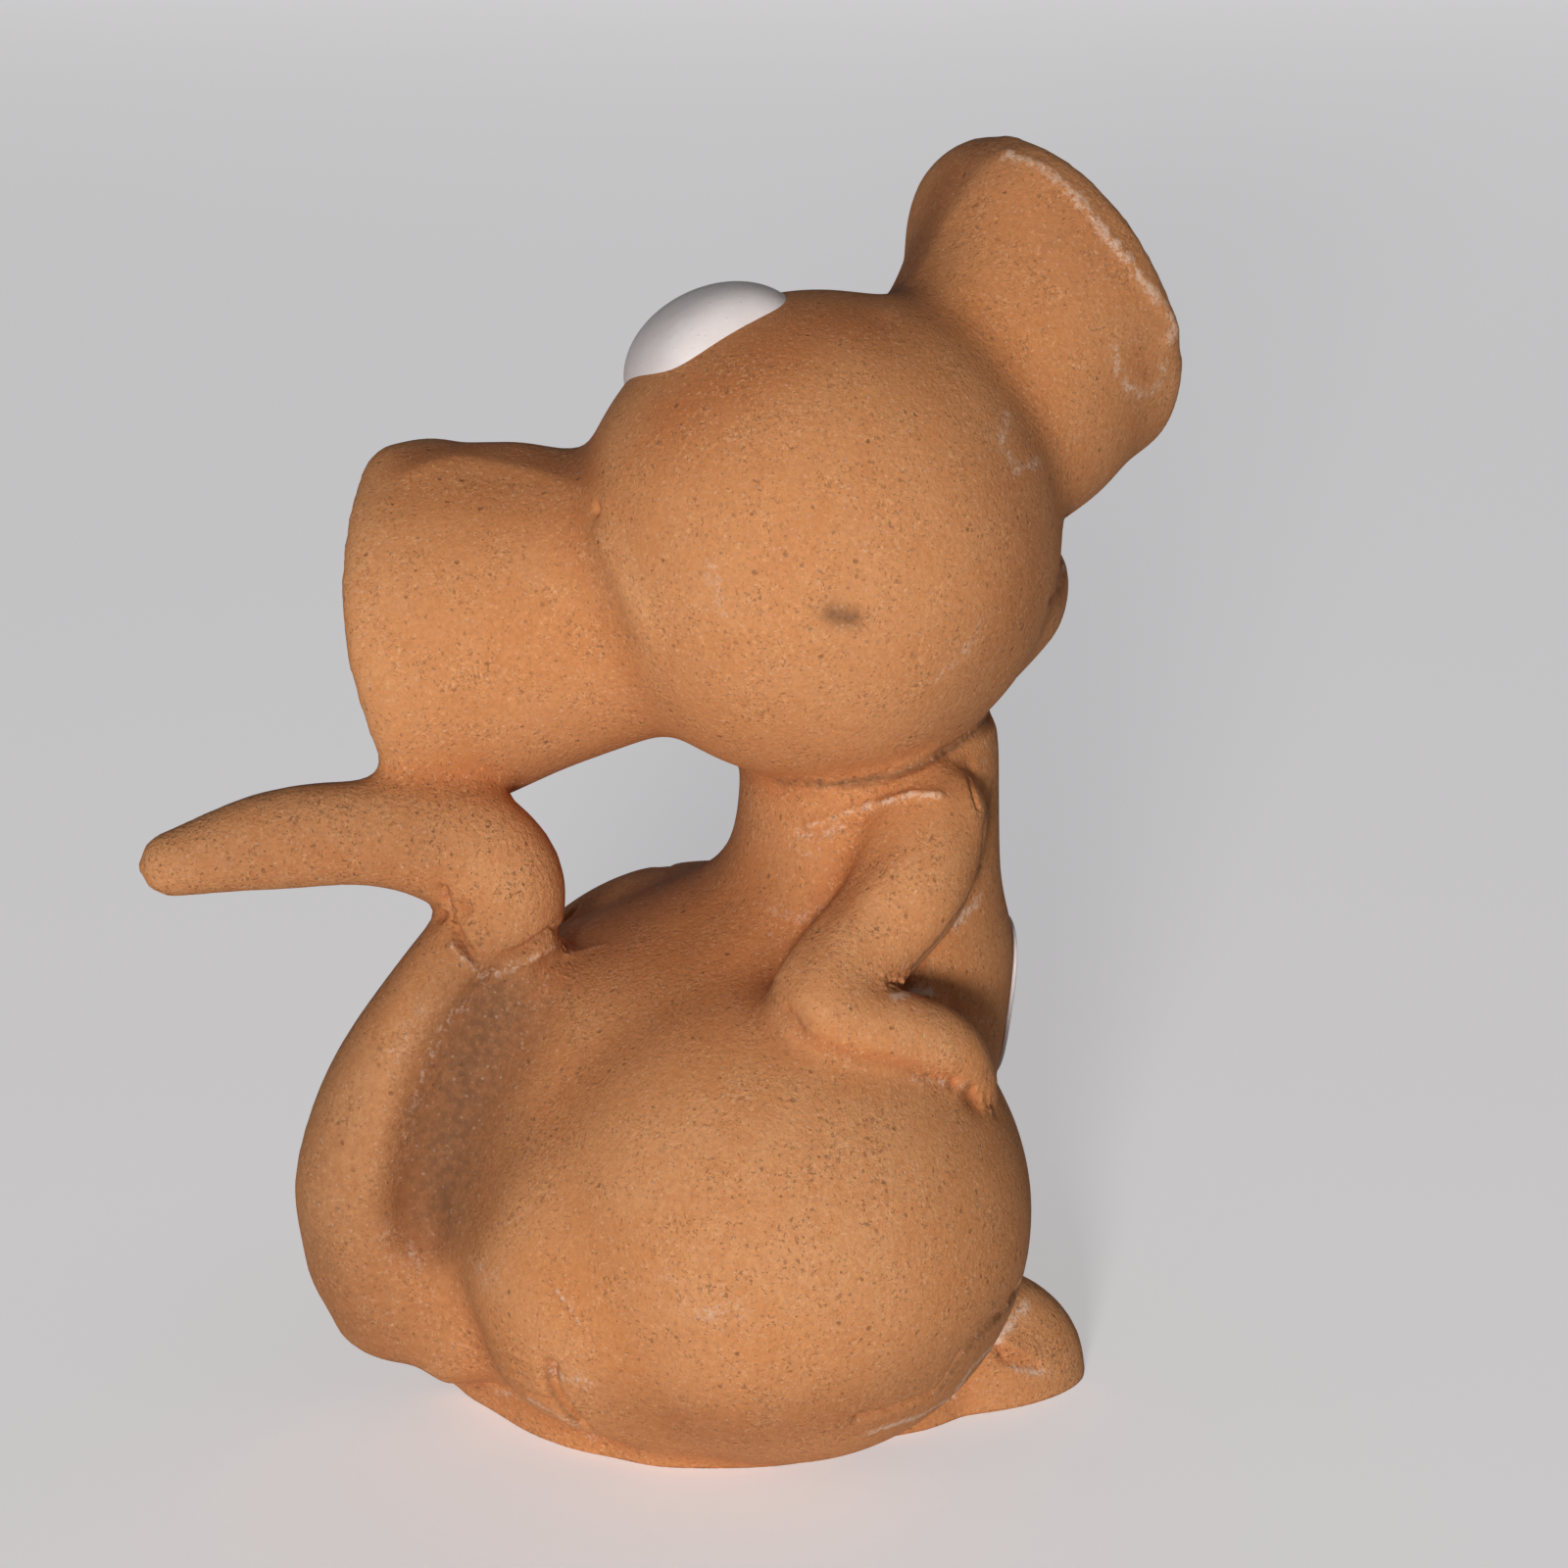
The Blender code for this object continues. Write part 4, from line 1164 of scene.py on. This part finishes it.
def fired_clay_material(finish):
    """Unglazed fired red clay, with sand, pits, chalk in the creases, worn tops with painted light, and
    painted shade in hollows, creases and turned-away sides.
    """
    material, w, shader, place = new_material("fired_clay")
    uneven = w.attribute("rough")
    tooth = w.scaled(uneven, 0.00009, 0.00008)
    sand = use_group(w, sand_group(), Place=place, Tooth=tooth)
    mottle = use_group(w, mottle_group(), Place=place)
    colour = w.blend(w.times(mottle["Slow"], 0.28), finish.clay, finish.clay_pale_and_lit)
    colour = w.blend(w.times(mottle["Fine"], 0.26), colour, finish.clay_deep_and_shade)
    # Paler on raised and rubbed tops: wear, and painted light where the lamp falls full.
    high = w.times(w.attribute("high"), w.spread(mottle["Dust"], 0.0, 1.0, 0.45, 1.0))
    colour = w.blend(w.times(high, 0.55), colour, finish.clay_pale_and_lit)
    # Redder clay and painted shade.
    colour = w.blend(w.times(w.attribute("redder_clay_and_shade"), 0.70), colour, finish.clay_deep_and_shade)
    # Painted shade in the hollows.
    colour = w.blend(w.times(w.attribute("hollow_shade"), 0.55), colour, finish.clay_deep_and_shade)
    grit = w.scaled(uneven, 0.25, 0.55)
    dark_grit = w.times(sand["Dark Flecks"], grit)
    even_grit = w.times(w.less(1.0, sand["Speckle"]), 0.15)
    colour = w.blend(w.sum("MAXIMUM", dark_grit, even_grit), colour, finish.grime_and_shade)
    colour = w.blend(w.times(sand["Pale Flecks"], 0.62), colour, finish.clay_pale_and_lit)
    # Grime smudges and painted shade in the valleys, creases and under the head.
    smudge_and_shade = w.times(w.attribute("grime_and_shade"), w.spread(mottle["Fine"], 0.0, 1.0, 0.78, 1.0))
    colour = w.blend(w.times(smudge_and_shade, 0.92), colour, finish.grime_and_shade)
    colour = w.blend(w.times(sand["Pits"], 0.60), colour, finish.grime_and_shade)
    colour = w.blend(w.times(sand["Grains"], 0.20), colour, finish.chalk)
    ragged = w.less(w.plus(w.attribute("chalk"), w.times(mottle["Crumble"], 0.8)), 0.4)
    dust = w.spread(ragged, 0.30, 0.85)
    dust = w.times(dust, w.spread(w.attribute("chalk"), 0.0, 0.9, 0.25, 1.0))
    colour = w.blend(w.times(dust, 0.60), colour, finish.chalk)
    w.feed(shader.inputs["Base Color"], colour)
    rough = w.spread(mottle["Fine"], 0.0, 1.0, 0.78, 0.93)
    rough = w.sum("ADD", rough, w.times(dust, 0.06), clamp=True)
    w.feed(shader.inputs["Roughness"], rough)
    shader.inputs["Specular IOR Level"].default_value = 0.22
    bump_from(w, shader, sand["Height"])
    return material


def white_clay_material(name, finish, stain, pupils=()):
    """Smooth white clay, faintly stained by the red clay round it, with any dark pupils dotted on."""
    material, w, shader, place = new_material(name)
    sand = use_group(w, sand_group(), Place=place, Tooth=0.000006, Pit_Depth=0.00001, Pit_Share=0.06)
    mottle = use_group(w, mottle_group(), Place=place, Patch=260.0)
    tint = (0.70, 0.56, 0.50, 1.0)
    colour = w.blend(w.times(mottle["Slow"], 0.30), finish.white, (0.70, 0.64, 0.66, 1.0))
    colour = w.blend(w.times(mottle["Dust"], stain), colour, tint)
    colour = w.blend(w.times(sand["Pits"], 0.35), colour, finish.clay)
    for pupil in pupils:
        away = w.put("ShaderNodeVectorMath", operation="DISTANCE")
        w.feed(away.inputs[0], place)
        away.inputs[1].default_value = pupil
        brushed = w.scaled(mottle["Fine"], 0.00012, away.outputs["Value"])
        colour = w.blend(w.spread(brushed, *PUPIL_EDGE), colour, PUPIL_TONE)
    w.feed(shader.inputs["Base Color"], colour)
    w.feed(shader.inputs["Roughness"], w.spread(mottle["Fine"], 0.0, 1.0, 0.52, 0.66))
    shader.inputs["Specular IOR Level"].default_value = 0.35
    bump_from(w, shader, sand["Height"])
    return material


def dress(obj, material, node):
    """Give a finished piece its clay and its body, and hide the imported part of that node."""
    obj.data.materials.clear()
    obj.data.materials.append(material)
    obj.data.shade_smooth()
    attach(obj, "root")
    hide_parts(node)


class MOUSE_OT_shape_clay(Operator):
    """Shape the whole figure in red clay, with its creases and its finish"""

    bl_idname = "mouse.shape_clay"
    bl_label = "Shape Red Clay"

    def execute(self, context):
        sizes = context.scene.mouse_sizes
        bm = bmesh.new()
        add_muzzle(bm, sizes)
        add_tail(bm, sizes)
        for side in (-1, 1):
            add_arm(bm, sizes, side)
            add_foot(bm, side)
        for part in (build_trunk(sizes), build_head(sizes)):
            bm.from_mesh(part.data)
            bpy.data.objects.remove(part, do_unlink=True)
        obj = thumb_together("red_clay", bm, sizes.skin_step, JOIN_STROKES)
        skin = Skin(obj)
        press_outline(skin)
        lines = crease_lines(skin, sizes)
        refine(obj, lines, 0.00110)
        refine(obj, lines, 0.00060)
        skin = Skin(obj)
        skin.relax(2)
        shape_creases(skin, lines)
        skin.relax(1)
        skin.refresh()
        mark_finish(skin, lines)
        bm = bmesh.new()
        bm.from_mesh(obj.data)
        keep_largest(bm)
        cut_flat(bm)
        bm.to_mesh(obj.data)
        bm.free()
        dress(obj, fired_clay_material(context.scene.mouse_finish), "clay_figure")
        return {"FINISHED"}


class MOUSE_OT_press_eyes(Operator):
    """Press the white of both eyes over the crown of the head"""

    bl_idname = "mouse.press_eyes"
    bl_label = "Press White Eyes"

    def execute(self, context):
        sizes = context.scene.mouse_sizes
        bm = bmesh.new()
        turn = Matrix.Translation(head_centre(sizes)) @ head_frame(sizes).to_4x4()
        lean = Matrix.Rotation(math.radians(EYE_LEAN_DEG), 4, "X")
        lift = Matrix.Translation((-0.0005, 0.0005, sizes.head_radius - EYE_SINK - 0.0003))
        rise = sizes.eye_proud + EYE_SINK
        size = Matrix.Diagonal((sizes.eye_half_width, sizes.eye_half_height, rise, 1.0))
        bmesh.ops.create_uvsphere(bm, u_segments=96, v_segments=64, radius=1.0)
        for vert in bm.verts:
            if vert.co.y < 0.0:
                vert.co.y /= (1.0 + (vert.co.y / 0.8) ** 4) ** 0.25
        spin = Matrix.Rotation(math.radians(EYE_SPIN_DEG), 4, "Z")
        place = turn @ lean @ lift @ spin @ size
        bmesh.ops.transform(bm, matrix=place, verts=bm.verts)
        obj = add_piece("white_eyes", bm)
        top = math.sqrt(1.0 - PUPIL_ASIDE ** 2 - PUPIL_AHEAD ** 2)
        pupils = [place @ Vector((x, PUPIL_AHEAD, top)) for x in (-PUPIL_ASIDE, PUPIL_ASIDE)]
        dress(obj, white_clay_material("white_clay_eyes", context.scene.mouse_finish, 0.12, pupils),
              "eye_whites")
        return {"FINISHED"}


class MOUSE_OT_lay_tummy(Operator):
    """Lay a thin white skin of clay on the tummy"""

    bl_idname = "mouse.lay_tummy"
    bl_label = "Lay White Tummy"

    def execute(self, context):
        bm = bmesh.new()
        bmesh.ops.create_circle(bm, cap_ends=True, segments=TUMMY_SIDES, radius=1.0)
        for share in (0.94, 0.84, 0.72, 0.60, 0.48, 0.36, 0.24, 0.12):
            inner = [face for face in bm.faces if len(face.verts) == TUMMY_SIDES]
            bmesh.ops.inset_individual(bm, faces=inner, thickness=0.04)
            for face in bm.faces:
                if len(face.verts) == TUMMY_SIDES:
                    for vert in face.verts:
                        vert.co = vert.co.normalized() * share
        size = Matrix.Diagonal((*TUMMY_HALF_SIZE, 1.0, 1.0))
        turn = Matrix.Rotation(math.radians(90.0), 4, "X")
        front = body_point(TUMMY_HEIGHT, 0.0) + Vector((0.0, -0.010, 0.0))
        bmesh.ops.transform(bm, matrix=Matrix.Translation(front) @ turn @ size, verts=bm.verts)
        obj = add_piece("white_tummy", bm)
        draw = obj.modifiers.new("draw", "SHRINKWRAP")
        draw.target = bpy.data.objects["red_clay"]
        draw.wrap_method = "PROJECT"
        draw.use_project_y = True
        draw.use_positive_direction = True
        draw.use_negative_direction = False
        draw.offset = 0.00002
        settle(obj)
        shell = obj.modifiers.new("shell", "SOLIDIFY")
        shell.thickness = TUMMY_THICKNESS
        shell.offset = 1.0
        soften = obj.modifiers.new("soften", "BEVEL")
        soften.width = 0.0001
        soften.segments = 3
        soften.limit_method = "ANGLE"
        settle(obj)
        dress(obj, white_clay_material("white_clay_tummy", context.scene.mouse_finish, 0.25),
              "tummy_patch")
        return {"FINISHED"}


def add_lamp(name, way, size, power, colour):
    """A soft lamp a little way off, turned to the figure."""
    data = bpy.data.lights.new(name, "AREA")
    data.shape = "DISK"
    data.size = size
    data.energy = power
    data.color = colour
    lamp = bpy.data.objects.new(name, data)
    bpy.context.scene.collection.objects.link(lamp)
    lamp.location = LAMP_AIM + way.normalized() * LAMP_DISTANCE
    lamp.rotation_euler = (-way).to_track_quat("-Z", "Y").to_euler()


class MOUSE_OT_set_stage(Operator):
    """Set the plain pale floor, the soft lamps and the camera"""

    bl_idname = "mouse.set_stage"
    bl_label = "Set Stage"

    def execute(self, context):
        scene = context.scene
        finish = scene.mouse_finish
        bm = bmesh.new()
        bmesh.ops.create_grid(bm, x_segments=8, y_segments=8, size=3.0)
        floor = add_piece("floor", bm)
        material, w, shader, _ = new_material("plain_floor")
        shader.inputs["Base Color"].default_value = finish.floor
        shader.inputs["Emission Color"].default_value = finish.floor
        seen = w.put("ShaderNodeLightPath")
        plainly = w.sum("MAXIMUM", seen.outputs["Is Camera Ray"], seen.outputs["Is Glossy Ray"])
        w.feed(shader.inputs["Emission Strength"], w.times(plainly, FLOOR_GLOW))
        shader.inputs["Roughness"].default_value = 0.95
        shader.inputs["Specular IOR Level"].default_value = 0.1
        floor.data.materials.append(material)
        view = Camera()
        data = bpy.data.cameras.new("view")
        data.sensor_width = SENSOR_WIDTH
        data.lens = SENSOR_WIDTH * VIEW_FOCUS / FRAME_PIXELS
        data.clip_start = 0.01
        camera = bpy.data.objects.new("view", data)
        scene.collection.objects.link(camera)
        place = Matrix((view.right, view.up, view.back)).transposed().to_4x4()
        place.translation = view.place
        camera.matrix_world = place
        scene.camera = camera
        add_lamp("key", view.back - view.right * 0.15 - view.up * 0.20, 0.16, 7.2, (1.0, 0.985, 0.965))
        add_lamp("side", view.right * 0.9 + view.up * 0.7 - view.back * 0.2, 0.8, 0.35, (0.97, 0.98, 1.0))
        add_lamp("far", view.up * 0.5 - view.back * 1.0, 0.8, 0.8, (1.0, 0.99, 0.98))
        world = bpy.data.worlds.new("plain_room")
        scene.world = world
        world.use_nodes = True
        sky = world.node_tree.nodes["Background"]
        sky.inputs["Color"].default_value = ROOM_TONE
        sky.inputs["Strength"].default_value = ROOM_STRENGTH
        scene.view_settings.view_transform = "Standard"
        return {"FINISHED"}


class MOUSE_PT_figurine(Panel):
    """Sizes, finishes and steps of the clay mouse"""

    bl_label = "Clay Mouse"
    bl_idname = "MOUSE_PT_figurine"
    bl_space_type = "VIEW_3D"
    bl_region_type = "UI"
    bl_category = "Mouse"

    def draw(self, context):
        layout = self.layout
        for group in (context.scene.mouse_sizes, context.scene.mouse_finish):
            box = layout.box()
            for key in group.__annotations__:
                box.prop(group, key)
        for step in STEPS:
            layout.operator(step.bl_idname)


STEPS = (MOUSE_OT_shape_clay, MOUSE_OT_press_eyes, MOUSE_OT_lay_tummy, MOUSE_OT_set_stage)
CLASSES = (MouseSizes, MouseFinish) + STEPS + (MOUSE_PT_figurine,)


def register():
    for cls in CLASSES:
        bpy.utils.register_class(cls)
    bpy.types.Scene.mouse_sizes = PointerProperty(type=MouseSizes)
    bpy.types.Scene.mouse_finish = PointerProperty(type=MouseFinish)


def unregister():
    del bpy.types.Scene.mouse_finish
    del bpy.types.Scene.mouse_sizes
    for cls in reversed(CLASSES):
        bpy.utils.unregister_class(cls)


def main():
    register()
    bpy.ops.mouse.shape_clay()
    bpy.ops.mouse.press_eyes()
    bpy.ops.mouse.lay_tummy()
    bpy.ops.mouse.set_stage()


if __name__ == "__main__":
    main()
